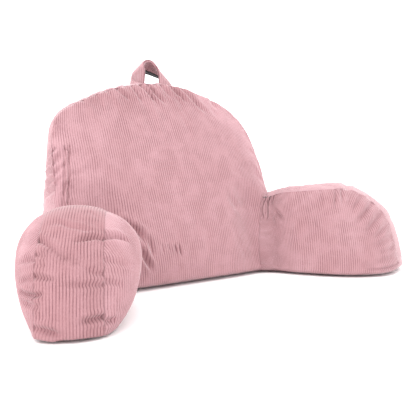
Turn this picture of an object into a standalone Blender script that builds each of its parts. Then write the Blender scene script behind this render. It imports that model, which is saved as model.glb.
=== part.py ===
"""Reading pillow with arms: a leaning back cushion, two splayed arm bolsters and a carrying loop.

Metres, +Z up, floor at z = 0. The sitter faces -Y. The origin is the middle of the back
cushion's flat base. Each cushion is a box cushion: two crowned face panels joined by a
boxing strip, lofted ring by ring from the middle of one panel to the middle of the other.
The loop leans with the front panel and is twisted towards its right foot.
"""

import math
from collections import namedtuple

import bmesh
import bpy
import numpy as np
from mathutils import Matrix

# Back cushion
BASE_DEPTH = 0.190
FRONT_LEAN = math.radians(20)
REAR_LEAN = math.radians(7)
REAR_WIDTH_SHARE_FLOOR = 0.955
REAR_WIDTH_SHARE_TOP = 0.69
REAR_HEIGHT_SHARE = 0.925
FRONT_CROWN = 0.034
REAR_CROWN = 0.034
BACK_STRIP_CROWN = 0.013
BACK_STRIP_FLAT_BELOW = 0.08
BACK_PANEL_CENTRE = (0.000, 0.200)
BACK_DOME_POWER = 4.0
BACK_FLOOR_CROWN = 0.10
BACK_FLOOR_RISE = 0.050
ARM_SEAM_X = 0.204
ARM_SEAM_PULL = 0.85
ARM_SEAM_WIDTH = 0.050
ARM_SEAM_HEIGHTS = (0.15, 0.24)

# Arm bolsters
ARM_STRIP = 0.111
ARM_NARROWING_HEIGHTS = (0.12, 0.20)
ARM_TOP_CROWN = 0.010
ARM_TIP_CROWN = 0.022
ARM_TIP_FACING = (0.5, 1.0)
ARM_PANEL_CENTRE = (0.135, 0.105)
ARM_DOME_POWER = 6.0
ARM_FLOOR_RISE = 0.050
ARM_ROOT = -0.080
ARM_ROOT_TAPER_LENGTH = 0.120
ARM_CROWN_START = -0.030
ARM_OUTER_CROWN_FULL = 0.085
ARM_LEAN_HEIGHT = 0.180
ARM_LEAN_POWER = 1.3
ARM_LEAN_FADE = (-0.020, 0.160)
ARM_OUTER_LEAN_SHARE = 0.5

# Carrying loop, in the lean of the front panel
HANDLE_X = 0.024
STRAP_WIDTH = 0.049
STRAP_FOOT_WIDTH = 0.060
STRAP_THICKNESS = 0.008
STRAP_SETBACK = 0.034
STRAP_STATIONS = 60
STRAP_EDGE_ANGLES = (-0.8, 0, 0.8)
STRAP_FOOT_FADE = (0.15, 0.40)
STRAP_DROOP = math.radians(-8)
STRAP_DROOP_AT = 0.45
STRAP_DROOP_SPREAD = 0.15
STRAP_TWIST = math.radians(38)
STRAP_TWIST_RANGE = (0.55, 0.75)
TAPE_WIDTH = 0.016
TAPE_THICKNESS = 0.0015
TAPE_INSET = 0.001
TAPE_START = 0.30
TAPE_END = 0.76

SEAT_GAP = 0.0003
TAPE_GAP = 0.0005

# A fold presses only where the cloth faces this far towards the fold's own side.
FOLD_FACING = (0.15, 0.6)
CURVE_STEPS = 12
CLOTH_ROUGHNESS = 0.95
TAPE_ROUGHNESS = 0.7
SMOOTH_BELOW = math.radians(50)

SeamPoint = namedtuple("SeamPoint", "across height")
Arm = namedtuple(
    "Arm",
    "name side splay_deg length_share height_share slant top_taper root_taper root_lean"
    " inner inner_full inner_lean inner_floor outer outer_floor",
)
Fold = namedtuple("Fold", "face start end depth width")
Face = namedtuple("Face", "axes outward")

# The front panel's seam, from the floor on the viewer's left over the dome to the right.
BACK_SEAM = [
    SeamPoint(-0.276, 0.000),
    SeamPoint(-0.284, 0.090),
    SeamPoint(-0.287, 0.180),
    SeamPoint(-0.280, 0.235),
    SeamPoint(-0.275, 0.290),
    SeamPoint(-0.269, 0.325),
    SeamPoint(-0.256, 0.356),
    SeamPoint(-0.232, 0.377),
    SeamPoint(-0.199, 0.392),
    SeamPoint(-0.134, 0.416),
    SeamPoint(-0.053, 0.435),
    SeamPoint(0.018, 0.440),
    SeamPoint(0.086, 0.435),
    SeamPoint(0.140, 0.419),
    SeamPoint(0.197, 0.395),
    SeamPoint(0.238, 0.361),
    SeamPoint(0.258, 0.326),
    SeamPoint(0.272, 0.291),
    SeamPoint(0.280, 0.254),
    SeamPoint(0.284, 0.200),
    SeamPoint(0.283, 0.100),
    SeamPoint(0.276, 0.000),
]

# An arm's inner seam, from its root along the top and down the rounded front to the floor.
ARM_SEAM = [
    SeamPoint(ARM_ROOT, 0.170),
    SeamPoint(0.020, 0.182),
    SeamPoint(0.080, 0.189),
    SeamPoint(0.150, 0.197),
    SeamPoint(0.195, 0.198),
    SeamPoint(0.230, 0.187),
    SeamPoint(0.260, 0.167),
    SeamPoint(0.288, 0.139),
    SeamPoint(0.306, 0.102),
    SeamPoint(0.318, 0.062),
    SeamPoint(0.326, 0.026),
    SeamPoint(0.326, 0.006),
    SeamPoint(0.321, 0.000),
]

# inner and outer are how far the side panels swell, inner_floor and outer_floor the share of
# that left where they meet the floor, inner_full where along the arm the inner swell is full,
# inner_lean the share of it lost towards the top, slant how much longer the outer side is,
# top_taper and root_taper how much narrower the arm is at its top and at the back cushion, and
# root_lean how far the arm's top leans outwards where it is sewn to the leaning back.
ARMS = [
    Arm(
        "arm_left", -1, 32.5, 1.00, 0.96, 0.035, 0.006, 0.028, 0.020,
        0.070, 0.085, 0.00, 0.28, 0.053, 0.05,
    ),
    Arm(
        "arm_right", 1, 54.9, 1.00, 1.00, 0.000, 0.016, 0.008, 0.078,
        0.070, 0.210, 0.45, 1.00, 0.050, 0.40,
    ),
]

# The loop's middle line, from its left foot inside the cushion to its right foot.
HANDLE_ARCH = [
    SeamPoint(-0.056, -0.028),
    SeamPoint(-0.042, 0.004),
    SeamPoint(-0.036, 0.032),
    SeamPoint(-0.022, 0.053),
    SeamPoint(0.000, 0.060),
    SeamPoint(0.022, 0.054),
    SeamPoint(0.037, 0.034),
    SeamPoint(0.050, 0.012),
    SeamPoint(0.076, -0.020),
]

# Named sides of a cushion: the two axes that place a fold, and the way that side faces.
BACK_FACES = {
    "front": Face((0, 2), (0, -1, 0)),
    "rear": Face((0, 2), (0, 1, 0)),
    "left": Face((1, 2), (-1, 0, 0)),
    "right": Face((1, 2), (1, 0, 0)),
}
ARM_FACES = {
    "inner": Face((0, 2), (0, -1, 0)),
    "outer": Face((0, 2), (0, 1, 0)),
    "top": Face((0, 1), (0, 0, 1)),
    "tip": Face((1, 2), (1, 0, 0)),
}

BACK_FOLDS = [
    Fold("front", (-0.250, 0.200), (-0.255, 0.320), 0.004, 0.010),
    Fold("front", (0.010, 0.425), (0.095, 0.385), 0.005, 0.012),
    Fold("front", (0.085, 0.420), (0.150, 0.370), 0.004, 0.012),
    Fold("front", (0.245, 0.215), (0.200, 0.180), 0.006, 0.014),
    Fold("front", (-0.195, 0.130), (-0.150, 0.030), 0.006, 0.014),
    Fold("left", (0.090, 0.300), (0.150, 0.250), 0.005, 0.012),
    Fold("left", (0.080, 0.250), (0.150, 0.200), 0.005, 0.012),
    Fold("right", (0.090, 0.300), (0.150, 0.250), 0.005, 0.012),
    Fold("right", (0.080, 0.250), (0.150, 0.200), 0.005, 0.012),
    Fold("rear", (-0.200, 0.330), (-0.130, 0.280), 0.005, 0.014),
    Fold("rear", (0.210, 0.320), (0.140, 0.260), 0.005, 0.014),
    Fold("rear", (-0.230, 0.050), (-0.150, 0.090), 0.006, 0.016),
    Fold("rear", (0.230, 0.050), (0.150, 0.090), 0.006, 0.016),
]
ARM_FOLDS = {
    "arm_left": [
        Fold("tip", (0.010, 0.150), (0.060, 0.152), 0.006, 0.009),
        Fold("tip", (0.115, 0.150), (0.040, 0.115), 0.005, 0.010),
        Fold("tip", (0.135, 0.085), (0.105, 0.070), 0.005, 0.009),
        Fold("tip", (0.010, 0.030), (0.050, 0.028), 0.007, 0.010),
        Fold("tip", (0.115, 0.020), (0.080, 0.010), 0.008, 0.012),
        Fold("inner", (0.290, 0.110), (0.220, 0.100), 0.005, 0.012),
        Fold("inner", (0.250, 0.155), (0.200, 0.120), 0.005, 0.012),
        Fold("outer", (0.290, 0.110), (0.220, 0.100), 0.006, 0.012),
        Fold("outer", (0.250, 0.160), (0.200, 0.120), 0.005, 0.012),
    ],
    "arm_right": [
        Fold("inner", (0.262, 0.160), (0.215, 0.115), 0.006, 0.011),
        Fold("inner", (0.288, 0.128), (0.240, 0.090), 0.006, 0.011),
        Fold("inner", (0.305, 0.090), (0.262, 0.062), 0.005, 0.010),
        Fold("inner", (0.215, 0.180), (0.180, 0.140), 0.004, 0.010),
        Fold("inner", (0.015, 0.175), (0.045, 0.130), 0.006, 0.012),
        Fold("inner", (0.300, 0.018), (0.240, 0.012), 0.005, 0.010),
        Fold("outer", (0.290, 0.110), (0.220, 0.100), 0.006, 0.012),
        Fold("outer", (0.250, 0.160), (0.200, 0.120), 0.005, 0.012),
        Fold("top", (0.200, 0.020), (0.215, 0.090), 0.004, 0.010),
    ],
}

# How finely each cushion is lofted: shares of the way from a panel's middle to its seam,
# and shares of the way across the boxing strip.
PANEL_STEPS = [0.15, 0.30, 0.45, 0.59, 0.71, 0.81, 0.89, 0.95, 1.0]
STRIP_STEPS = [0.08, 0.25, 0.42, 0.58, 0.75, 0.92]
BACK_SEAM_POINTS = 56
BACK_BASE_POINTS = 20
ARM_SEAM_POINTS = 42
ARM_BASE_POINTS = 12
ARM_ROOT_POINTS = 8

ROSE_CORDUROY = (0.72, 0.40, 0.43, 1.0)
ROSE_SHADE = (0.68, 0.37, 0.40, 1.0)
TAPE_BLACK = (0.020, 0.021, 0.024, 1.0)


def smoothstep(low, high, value):
    share = np.clip((value - low) / (high - low), 0.0, 1.0)
    return share * share * (3.0 - 2.0 * share)


def curve_through(rows, count):
    """count points, evenly spaced, on a Catmull-Rom curve through the rows."""
    knots = np.array(rows, float)
    knots = np.vstack([2 * knots[0] - knots[1], knots, 2 * knots[-1] - knots[-2]])
    steps = np.linspace(0, 1, CURVE_STEPS, endpoint=False)[:, None]
    pieces = []
    for a, b, c, d in zip(knots, knots[1:], knots[2:], knots[3:]):
        pieces.append(
            0.5 * (2 * b + (c - a) * steps + (2 * a - 5 * b + 4 * c - d) * steps**2)
            + 0.5 * (3 * b - a - 3 * c + d) * steps**3
        )
    dense = np.vstack(pieces + [knots[-2][None]])
    travel = np.r_[0, np.cumsum(np.linalg.norm(np.diff(dense, axis=0), axis=1))]
    wanted = np.linspace(0, travel[-1], count)
    return np.column_stack([np.interp(wanted, travel, axis) for axis in dense.T])


def line_between(start, end, count):
    """count points inside the straight line from start to end, without its ends."""
    shares = np.linspace(0, 1, count + 2)[1:-1, None]
    return np.array(start) * (1 - shares) + np.array(end) * shares


def outward_normals(loop):
    """Unit normals of a closed flat loop that runs clockwise, pointing out of it."""
    along = np.roll(loop, -1, axis=0) - np.roll(loop, 1, axis=0)
    normals = np.column_stack([-along[:, 1], along[:, 0]])
    return normals / np.linalg.norm(normals, axis=1)[:, None]


def stuffing(flat, seam, power, floor_share, floor_rise):
    """How far a panel swells at each flat point, as a share: 1 in its middle, 0 at the seam.

    seam runs clockwise from the floor to the floor. floor_share is what is left at the floor.
    """
    foot = np.array([(seam[0, 0] + seam[-1, 0]) / 2, 0])
    spokes, offset = seam - foot, flat - foot
    angles = np.arctan2(spokes[:, 1], -spokes[:, 0])
    angle = np.arctan2(np.maximum(offset[:, 1], 0), -offset[:, 0])
    reach = np.interp(angle, angles, np.hypot(*spokes.T))
    share = np.minimum(np.hypot(*offset.T) / reach, 1)
    off_floor = 1 - np.exp(-flat[:, 1] / floor_rise)
    return (1 - share**power) * (floor_share + (1 - floor_share) * off_floor)


def loft(name, rings, first_pole, last_pole):
    """A closed mesh object through the rings, with a fan at each end."""
    mesh = bpy.data.meshes.new(name)
    shape = bmesh.new()
    rows = [[shape.verts.new(point) for point in ring] for ring in rings]
    poles = [shape.verts.new(first_pole), shape.verts.new(last_pole)]
    count = len(rows[0])
    for i in range(count):
        j = (i + 1) % count
        for here, there in zip(rows, rows[1:]):
            shape.faces.new((here[i], here[j], there[j], there[i]))
        shape.faces.new((poles[0], rows[0][j], rows[0][i]))
        shape.faces.new((poles[1], rows[-1][i], rows[-1][j]))
    bmesh.ops.triangulate(shape, faces=shape.faces)
    bmesh.ops.recalc_face_normals(shape, faces=shape.faces)
    shape.to_mesh(mesh)
    shape.free()
    return bpy.data.objects.new(name, mesh)


def press_folds(cushion, folds, faces):
    """Pushes the main creases into a cushion, each a soft trough between two points."""
    mesh = cushion.data
    points = np.array([vertex.co for vertex in mesh.vertices])
    normals = np.array([vertex.normal for vertex in mesh.vertices])
    moved = points.copy()
    for fold in folds:
        face = faces[fold.face]
        flat = points[:, face.axes]
        start, end = np.array(fold.start), np.array(fold.end)
        span = end - start
        share = np.clip((flat - start) @ span / (span @ span), 0, 1)
        distance = np.linalg.norm(flat - start - share[:, None] * span, axis=1)
        facing = smoothstep(*FOLD_FACING, normals @ np.array(face.outward))
        trough = fold.depth * facing * np.exp(-((distance / fold.width) ** 2))
        moved -= normals * trough[:, None]
    moved[:, 2] = np.where(points[:, 2] < SEAT_GAP, points[:, 2], np.maximum(moved[:, 2], 0))
    mesh.vertices.foreach_set("co", moved.ravel())
    mesh.update()


def back_cushion(name):
    dome = curve_through(BACK_SEAM, BACK_SEAM_POINTS)
    base = line_between(dome[-1], dome[0], BACK_BASE_POINTS)
    loop = np.vstack([dome, base])
    centre = np.array(BACK_PANEL_CENTRE)

    def swell(flat):
        return stuffing(flat, dome, BACK_DOME_POWER, BACK_FLOOR_CROWN, BACK_FLOOR_RISE)

    def front_ring(share):
        flat = centre + (loop - centre) * share
        across, height = flat.T
        beside_arm = np.exp(-(((np.abs(across) - ARM_SEAM_X) / ARM_SEAM_WIDTH) ** 2))
        pull = ARM_SEAM_PULL * beside_arm * (1 - smoothstep(*ARM_SEAM_HEIGHTS, height))
        depth = height * math.tan(FRONT_LEAN) - FRONT_CROWN * swell(flat) * (1 - pull)
        return np.column_stack([across, depth, height])

    def rear_ring(share):
        flat = centre + (loop - centre) * share
        top_share = flat[:, 1] / dome[:, 1].max()
        narrowing = REAR_WIDTH_SHARE_TOP - REAR_WIDTH_SHARE_FLOOR
        across = flat[:, 0] * (REAR_WIDTH_SHARE_FLOOR + narrowing * top_share)
        height = flat[:, 1] * REAR_HEIGHT_SHARE
        depth = BASE_DEPTH + height * math.tan(REAR_LEAN) + REAR_CROWN * swell(flat)
        return np.column_stack([across, depth, height])

    def strip_ring(share):
        normals = outward_normals(loop)
        above_floor = smoothstep(0, BACK_STRIP_FLAT_BELOW, loop[:, 1])
        bulge = BACK_STRIP_CROWN * above_floor * 4 * share * (1 - share)
        flat = front_ring(1) * (1 - share) + rear_ring(1) * share
        return flat + np.column_stack([normals[:, 0], 0 * bulge, normals[:, 1]]) * bulge[:, None]

    rings = [front_ring(share) for share in PANEL_STEPS]
    rings += [strip_ring(share) for share in STRIP_STEPS]
    rings += [rear_ring(share) for share in reversed(PANEL_STEPS)]
    shift = np.array([0, -BASE_DEPTH / 2, 0])
    rings = [ring + shift for ring in rings]
    poles = [front_ring(0)[0] + shift, rear_ring(0)[0] + shift]
    cushion = loft(name, rings, *poles)
    press_folds(cushion, BACK_FOLDS, BACK_FACES)
    return cushion


def arm_cushion(arm):
    """An arm in its own frame (along, outwards, up), then turned to its splay."""
    top = curve_through(ARM_SEAM, ARM_SEAM_POINTS)
    base = line_between(top[-1], (ARM_ROOT, 0), ARM_BASE_POINTS)
    root = line_between((ARM_ROOT, 0), top[0], ARM_ROOT_POINTS)
    loop = np.vstack([top, base, [(ARM_ROOT, 0)], root])
    loop *= (arm.length_share, arm.height_share)
    seam = np.vstack([loop[-ARM_ROOT_POINTS - 1 :], loop[:ARM_SEAM_POINTS]])
    centre = np.array(ARM_PANEL_CENTRE)

    def side_ring(share, outer):
        flat = centre + (loop - centre) * share
        along, height = flat.T
        rise = (height / ARM_LEAN_HEIGHT) ** ARM_LEAN_POWER
        lean = arm.root_lean * rise * (1 - smoothstep(*ARM_LEAN_FADE, along))
        if outer:
            swell = arm.outer * smoothstep(ARM_CROWN_START, ARM_OUTER_CROWN_FULL, along)
            swell *= stuffing(flat, seam, ARM_DOME_POWER, arm.outer_floor, ARM_FLOOR_RISE)
            taper = arm.root_taper * (1 - smoothstep(0, ARM_ROOT_TAPER_LENGTH, along))
            taper = taper + arm.top_taper * smoothstep(*ARM_NARROWING_HEIGHTS, height)
            across = ARM_STRIP - taper + swell + lean * ARM_OUTER_LEAN_SHARE
            return np.column_stack([along * (1 + arm.slant / 2), across, height])
        swell = arm.inner * smoothstep(ARM_CROWN_START, arm.inner_full, along)
        swell *= stuffing(flat, seam, ARM_DOME_POWER, arm.inner_floor, ARM_FLOOR_RISE)
        swell *= 1 - arm.inner_lean * height / top[:, 1].max()
        return np.column_stack([along * (1 - arm.slant / 2), lean - swell, height])

    def strip_ring(share):
        normals = outward_normals(loop)
        normals[:, 1] = np.maximum(normals[:, 1], 0)
        at_tip = smoothstep(*ARM_TIP_FACING, normals[:, 0])
        swell = (ARM_TOP_CROWN * (1 - at_tip) + ARM_TIP_CROWN * at_tip) * 4 * share * (1 - share)
        flat = side_ring(1, False) * (1 - share) + side_ring(1, True) * share
        flat += np.column_stack([normals[:, 0], 0 * swell, normals[:, 1]]) * swell[:, None]
        flat[:, 2] = np.maximum(flat[:, 2], 0)
        return flat

    rings = [side_ring(share, False) for share in PANEL_STEPS]
    rings += [strip_ring(share) for share in STRIP_STEPS]
    rings += [side_ring(share, True) for share in reversed(PANEL_STEPS)]
    cushion = loft(arm.name, rings, side_ring(0, False)[0], side_ring(0, True)[0])
    press_folds(cushion, ARM_FOLDS[arm.name], ARM_FACES)

    splay = math.radians(arm.splay_deg)
    along = (arm.side * math.sin(splay), -math.cos(splay), 0)
    outwards = (arm.side * math.cos(splay), math.sin(splay), 0)
    place = Matrix.Identity(4)
    for row in range(3):
        place[row][0], place[row][1] = along[row], outwards[row]
        place[row][3] = (arm.side * ARM_SEAM_X, -BASE_DEPTH / 2, 0)[row]
    cushion.data.transform(place)
    if place.determinant() < 0:
        cushion.data.flip_normals()
    return cushion


def strap(name, width, foot_width, thickness, outset, setback, share_from, share_to):
    """A flat strap swept round the loop's arch; outset moves it out of the arch's line.

    setback is how far its middle lies behind the front panel's top seam.
    """
    arch = curve_through(HANDLE_ARCH, STRAP_STATIONS + 1)
    along = np.gradient(arch, axis=0)
    normals = np.column_stack([-along[:, 1], along[:, 0]])
    normals /= np.linalg.norm(normals, axis=1)[:, None]
    travel = np.linspace(0, 1, STRAP_STATIONS + 1)
    droop = STRAP_DROOP * np.exp(-(((travel - STRAP_DROOP_AT) / STRAP_DROOP_SPREAD) ** 2))
    turns = droop + STRAP_TWIST * smoothstep(*STRAP_TWIST_RANGE, travel)
    widths = width + (foot_width - width) * (1 - smoothstep(*STRAP_FOOT_FADE, travel))

    def section(wide):
        """Round the strap once, as points across and through it."""
        corner = thickness / 2
        flat = wide / 2 - corner
        edge = [
            (flat + corner * math.cos(angle), corner * math.sin(angle))
            for angle in STRAP_EDGE_ANGLES
        ]
        face = [(across * flat, corner) for across in (1, 0.5, 0, -0.5, -1)]
        half = edge + face
        return half + [(-across, -thick) for across, thick in half]

    rear = np.array([0, math.cos(FRONT_LEAN), -math.sin(FRONT_LEAN)])
    up = np.array([0, math.sin(FRONT_LEAN), math.cos(FRONT_LEAN)])
    right = np.array([1.0, 0, 0])
    seam_top = max(point.height for point in BACK_SEAM) / math.cos(FRONT_LEAN)
    start = right * HANDLE_X + up * seam_top + rear * STRAP_SETBACK
    start[1] -= BASE_DEPTH / 2
    rings = []
    for i in range(round(share_from * STRAP_STATIONS), round(share_to * STRAP_STATIONS) + 1, 2):
        level = right * normals[i, 0] + up * normals[i, 1]
        deep = rear * math.cos(turns[i]) + level * math.sin(turns[i])
        out = level * math.cos(turns[i]) - rear * math.sin(turns[i])
        middle = start + right * arch[i, 0] + up * arch[i, 1]
        middle = middle + deep * (setback - STRAP_SETBACK) + out * outset
        rings.append([middle + deep * wide + out * thick for wide, thick in section(widths[i])])
    return loft(name, rings, np.mean(rings[0], axis=0), np.mean(rings[-1], axis=0))


def cut_to_seat(piece, cutter):
    """Cuts a piece back to the cushion it is sewn to, which the cutter is a hair larger than."""
    cut = piece.modifiers.new("seat", "BOOLEAN")
    cut.operation = "DIFFERENCE"
    cut.solver = "EXACT"
    cut.object = cutter


def paint(piece, colour, roughness):
    material = bpy.data.materials.new(piece.name)
    material.use_nodes = True
    surface = material.node_tree.nodes["Principled BSDF"]
    surface.inputs["Base Color"].default_value = colour
    surface.inputs["Roughness"].default_value = roughness
    surface.inputs["Metallic"].default_value = 0.0
    piece.data.materials.append(material)
    piece.data.shade_smooth()
    piece.data.set_sharp_from_angle(angle=SMOOTH_BELOW)


def main():
    for old in list(bpy.data.objects):
        bpy.data.objects.remove(old, do_unlink=True)
    pieces = bpy.data.collections.new("reading_pillow")
    cutters = bpy.data.collections.new("cutters")
    for collection in (pieces, cutters):
        bpy.context.scene.collection.children.link(collection)

    back = back_cushion("back")
    pieces.objects.link(back)
    paint(back, ROSE_CORDUROY, CLOTH_ROUGHNESS)

    cutter = bpy.data.objects.new("back_with_gap", back.data.copy())
    for vertex, normal in zip(cutter.data.vertices, [v.normal.copy() for v in back.data.vertices]):
        vertex.co += normal * SEAT_GAP
    cutter.hide_render = True
    cutter.display_type = "WIRE"
    cutters.objects.link(cutter)

    for arm in ARMS:
        cushion = arm_cushion(arm)
        pieces.objects.link(cushion)
        paint(cushion, ROSE_CORDUROY, CLOTH_ROUGHNESS)
        cut_to_seat(cushion, cutter)

    handle = strap(
        "handle", STRAP_WIDTH, STRAP_FOOT_WIDTH, STRAP_THICKNESS, 0, STRAP_SETBACK, 0, 1
    )
    pieces.objects.link(handle)
    paint(handle, ROSE_SHADE, CLOTH_ROUGHNESS)
    cut_to_seat(handle, cutter)

    tape_drop = -(STRAP_THICKNESS + TAPE_THICKNESS) / 2 - TAPE_GAP
    tape_back = STRAP_SETBACK + STRAP_WIDTH / 2 - TAPE_INSET - TAPE_WIDTH / 2
    tape = strap(
        "handle_tape",
        TAPE_WIDTH,
        TAPE_WIDTH,
        TAPE_THICKNESS,
        tape_drop,
        tape_back,
        TAPE_START,
        TAPE_END,
    )
    pieces.objects.link(tape)
    paint(tape, TAPE_BLACK, TAPE_ROUGHNESS)


main()
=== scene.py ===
import math

import bmesh
import bpy
import numpy as np
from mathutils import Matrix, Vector
from mathutils.bvhtree import BVHTree


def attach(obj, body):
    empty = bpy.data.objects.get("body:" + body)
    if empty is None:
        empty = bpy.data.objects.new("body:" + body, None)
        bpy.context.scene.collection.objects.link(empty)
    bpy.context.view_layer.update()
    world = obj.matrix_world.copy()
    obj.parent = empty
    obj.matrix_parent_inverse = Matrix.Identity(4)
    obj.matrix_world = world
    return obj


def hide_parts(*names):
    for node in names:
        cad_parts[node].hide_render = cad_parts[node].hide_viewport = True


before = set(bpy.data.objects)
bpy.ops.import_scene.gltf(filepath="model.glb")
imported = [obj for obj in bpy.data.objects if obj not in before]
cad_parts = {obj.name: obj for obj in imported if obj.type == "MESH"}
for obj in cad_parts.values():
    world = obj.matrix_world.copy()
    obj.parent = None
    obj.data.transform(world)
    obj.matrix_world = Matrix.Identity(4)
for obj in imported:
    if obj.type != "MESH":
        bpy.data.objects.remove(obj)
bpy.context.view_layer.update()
print("stage: frame loaded")

# Everything is in metres. The sitter faces -Y, the floor is z = 0.
walePitch = 0.0053
columnsPerWale = 4
coarseCell = 0.006     # about one cell of a cushion's coarse box
seamInset = 0.0006     # each panel stops this far short of its seam, and a narrow ribbon joins them
clothGap = 0.0005      # between an arm's root and the back cushion
mostRings = 9          # rings of cells are counted from a seam up to this one
stripRings = 20        # added to the ring's number on a boxing strip


def smoothStep(low, high, value):
    share = np.clip((value - low) / (high - low), 0.0, 1.0)
    return share * share * (3.0 - 2.0 * share)


def bell(distance, width):
    return np.exp(-((distance / width) ** 2))


def unit(vectors, least=1e-9):
    # each scaled to a length of 1, and left near zero where it has no length
    return vectors / np.maximum(np.linalg.norm(vectors, axis=-1), least)[..., None]


def curveThrough(rows, count, stepsPerSpan=24):
    # count evenly spaced points on a smooth curve through the rows
    knots = np.array(rows, float)
    knots = np.vstack([2 * knots[0] - knots[1], knots, 2 * knots[-1] - knots[-2]])
    steps = np.linspace(0, 1, stepsPerSpan, endpoint=False)[:, None]
    runs = []
    for a, b, c, d in zip(knots, knots[1:], knots[2:], knots[3:]):
        runs.append(0.5 * (2 * b + (c - a) * steps + (2 * a - 5 * b + 4 * c - d) * steps**2
                           + (3 * b - a - 3 * c + d) * steps**3))
    return evenly(np.vstack(runs + [knots[-2][None]]), count)


def lengthsAlong(curve):
    return np.r_[0, np.cumsum(np.linalg.norm(np.diff(curve, axis=0), axis=1))]


def evenly(curve, count):
    travel = lengthsAlong(curve)
    wanted = np.linspace(0, travel[-1], count)
    return np.column_stack([np.interp(wanted, travel, axis) for axis in curve.T])


def evenlyAcross(curve, count):
    # evenly spaced by the first coordinate, so that the columns stand upright
    wanted = np.linspace(curve[0, 0], curve[-1, 0], count)
    order = np.argsort(curve[:, 0])
    return np.column_stack([wanted, np.interp(wanted, curve[order, 0], curve[order, 1])])


def fillPatch(bottom, top, left, right):
    # a grid [column, row] between four edges that share their corners
    s = np.linspace(0, 1, len(bottom))[:, None, None]
    t = np.linspace(0, 1, len(left))[None, :, None]
    level = (1 - t) * bottom[:, None] + t * top[:, None]
    upright = (1 - s) * left[None] + s * right[None]
    corners = ((1 - s) * (1 - t) * bottom[0] + s * (1 - t) * bottom[-1]
               + (1 - s) * t * top[0] + s * t * top[-1])
    return level + upright - corners


def smoothWeights(positions, count):
    # cubic weights that read a row of count points at fractional places
    base = np.clip(np.floor(positions).astype(int), 0, count - 2)
    f = positions - base
    weights = np.zeros((len(positions), count + 2))
    parts = (0.5 * (-f + 2 * f**2 - f**3), 0.5 * (2 - 5 * f**2 + 3 * f**3),
             0.5 * (f + 4 * f**2 - 3 * f**3), 0.5 * (-f**2 + f**3))
    rows = np.arange(len(positions))
    for offset, part in enumerate(parts):
        weights[rows, base + offset] += part
    inner = weights[:, 1:-1].copy()
    inner[:, 0] += 2 * weights[:, 0]
    inner[:, 1] -= weights[:, 0]
    inner[:, -1] += 2 * weights[:, -1]
    inner[:, -2] -= weights[:, -1]
    return inner


def readFinely(coarse, rows, columns):
    return np.einsum("ar,rcx,bc->abx", smoothWeights(rows, coarse.shape[0]), coarse,
                     smoothWeights(columns, coarse.shape[1]), optimize=True)


def patchNormals(points):
    return unit(np.cross(np.gradient(points, axis=0), np.gradient(points, axis=1)))


def facingOf(side, middle):
    normals = patchNormals(side)
    return 1.0 if np.sum(normals * (side - middle), axis=2).mean() > 0 else -1.0


def lengthsDown(points):
    # how far along the cloth each point lies from the first row
    down = np.linalg.norm(np.diff(points, axis=0), axis=2)
    return np.vstack([np.zeros((1, points.shape[1])), np.cumsum(down, axis=0)])


def lengthsOver(points):
    # how far along the cloth each point lies from the first column
    over = np.linalg.norm(np.diff(points, axis=1), axis=2)
    return np.hstack([np.zeros((points.shape[0], 1)), np.cumsum(over, axis=1)])


def edgeDistances(points):
    # how far along the cloth the nearer edge is, down the rows and over the columns
    fromTop, fromLeft = lengthsDown(points), lengthsOver(points)
    return (np.minimum(fromTop, fromTop[-1:] - fromTop),
            np.minimum(fromLeft, fromLeft[:, -1:] - fromLeft))


# A cushion starts as a coarse box of points [across, up, front to rear]. Its sides are the panels
# and the boxing strip, and fine cloth is read from them.


def latticeSides(lattice):
    nU, nV, nW = (size - 1 for size in lattice.shape[:3])
    return {"front": lattice[:, :, 0], "rear": lattice[:, :, nW], "left": lattice[0],
            "right": lattice[nU], "top": lattice[:, nV], "base": lattice[:, 0]}


def latticeNormals(lattice):
    # outward normals of the box, averaged over the sides that meet at an edge
    total = np.zeros_like(lattice)
    sides, into = latticeSides(lattice), latticeSides(total)
    middle = np.mean([side.reshape(-1, 3).mean(axis=0) for side in sides.values()], axis=0)
    for key, side in sides.items():
        into[key] += patchNormals(side) * facingOf(side, middle)
    return unit(total)


def edgeNormals(curve):
    # square to a panel's edge, in the panel's own plane
    along = np.gradient(curve, axis=0)
    return unit(np.column_stack([-along[:, 1], 0 * along[:, 0], along[:, 0]]))


def spanPanels(lattice, rows, columns, normals, crown):
    # the strip between the two panels, crowned by this much in its middle
    share = np.linspace(0, 1, lattice.shape[2])[None, :, None]
    front, rear = lattice[rows, columns, 0], lattice[rows, columns, -1]
    bulge = crown[:, None] * 4 * share[0, :, 0] * (1 - share[0, :, 0])
    lattice[rows, columns, :] = (front[:, None] * (1 - share) + rear[:, None] * share
                                 + normals[:, None] * bulge[..., None])


def stuffing(flat, seam, power, floorShare, floorRise):
    # share of a panel's full swell: 1 in the middle, 0 at its seam, floorShare at the floor
    foot = np.array([(seam[0, 0] + seam[-1, 0]) / 2, 0])
    spokes, offset = seam - foot, flat - foot
    angles = np.arctan2(spokes[:, 1], -spokes[:, 0])
    angle = np.arctan2(np.maximum(offset[..., 1], 0), -offset[..., 0])
    reach = np.interp(angle, angles, np.hypot(*spokes.T))
    share = np.minimum(np.hypot(offset[..., 0], offset[..., 1]) / reach, 1)
    offFloor = 1 - np.exp(-flat[..., 1] / floorRise)
    return (1 - share**power) * (floorShare + (1 - floorShare) * offFloor)


def roundFoot(lattice, foot):
    # the sides turn under to a hem a little off the floor, and the base sags down to it further in
    level = unit(latticeNormals(lattice) * (1, 1, 0))
    gap = np.clip(foot["radius"] - lattice[..., 2], 0, foot["radius"])
    lattice -= level * (foot["radius"] - np.sqrt(foot["radius"] ** 2 - gap**2))[..., None]
    base = lattice[:, 0]
    base[...] = fillPatch(base[:, 0].copy(), base[:, -1].copy(), base[0].copy(), base[-1].copy())
    lattice[..., 2] += foot["lift"] * (1 - smoothStep(0, foot["blend"], lattice[..., 2]))
    base[..., 2] -= foot["lift"] * smoothStep(0, foot["reach"], np.minimum(*edgeDistances(base)))


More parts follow.
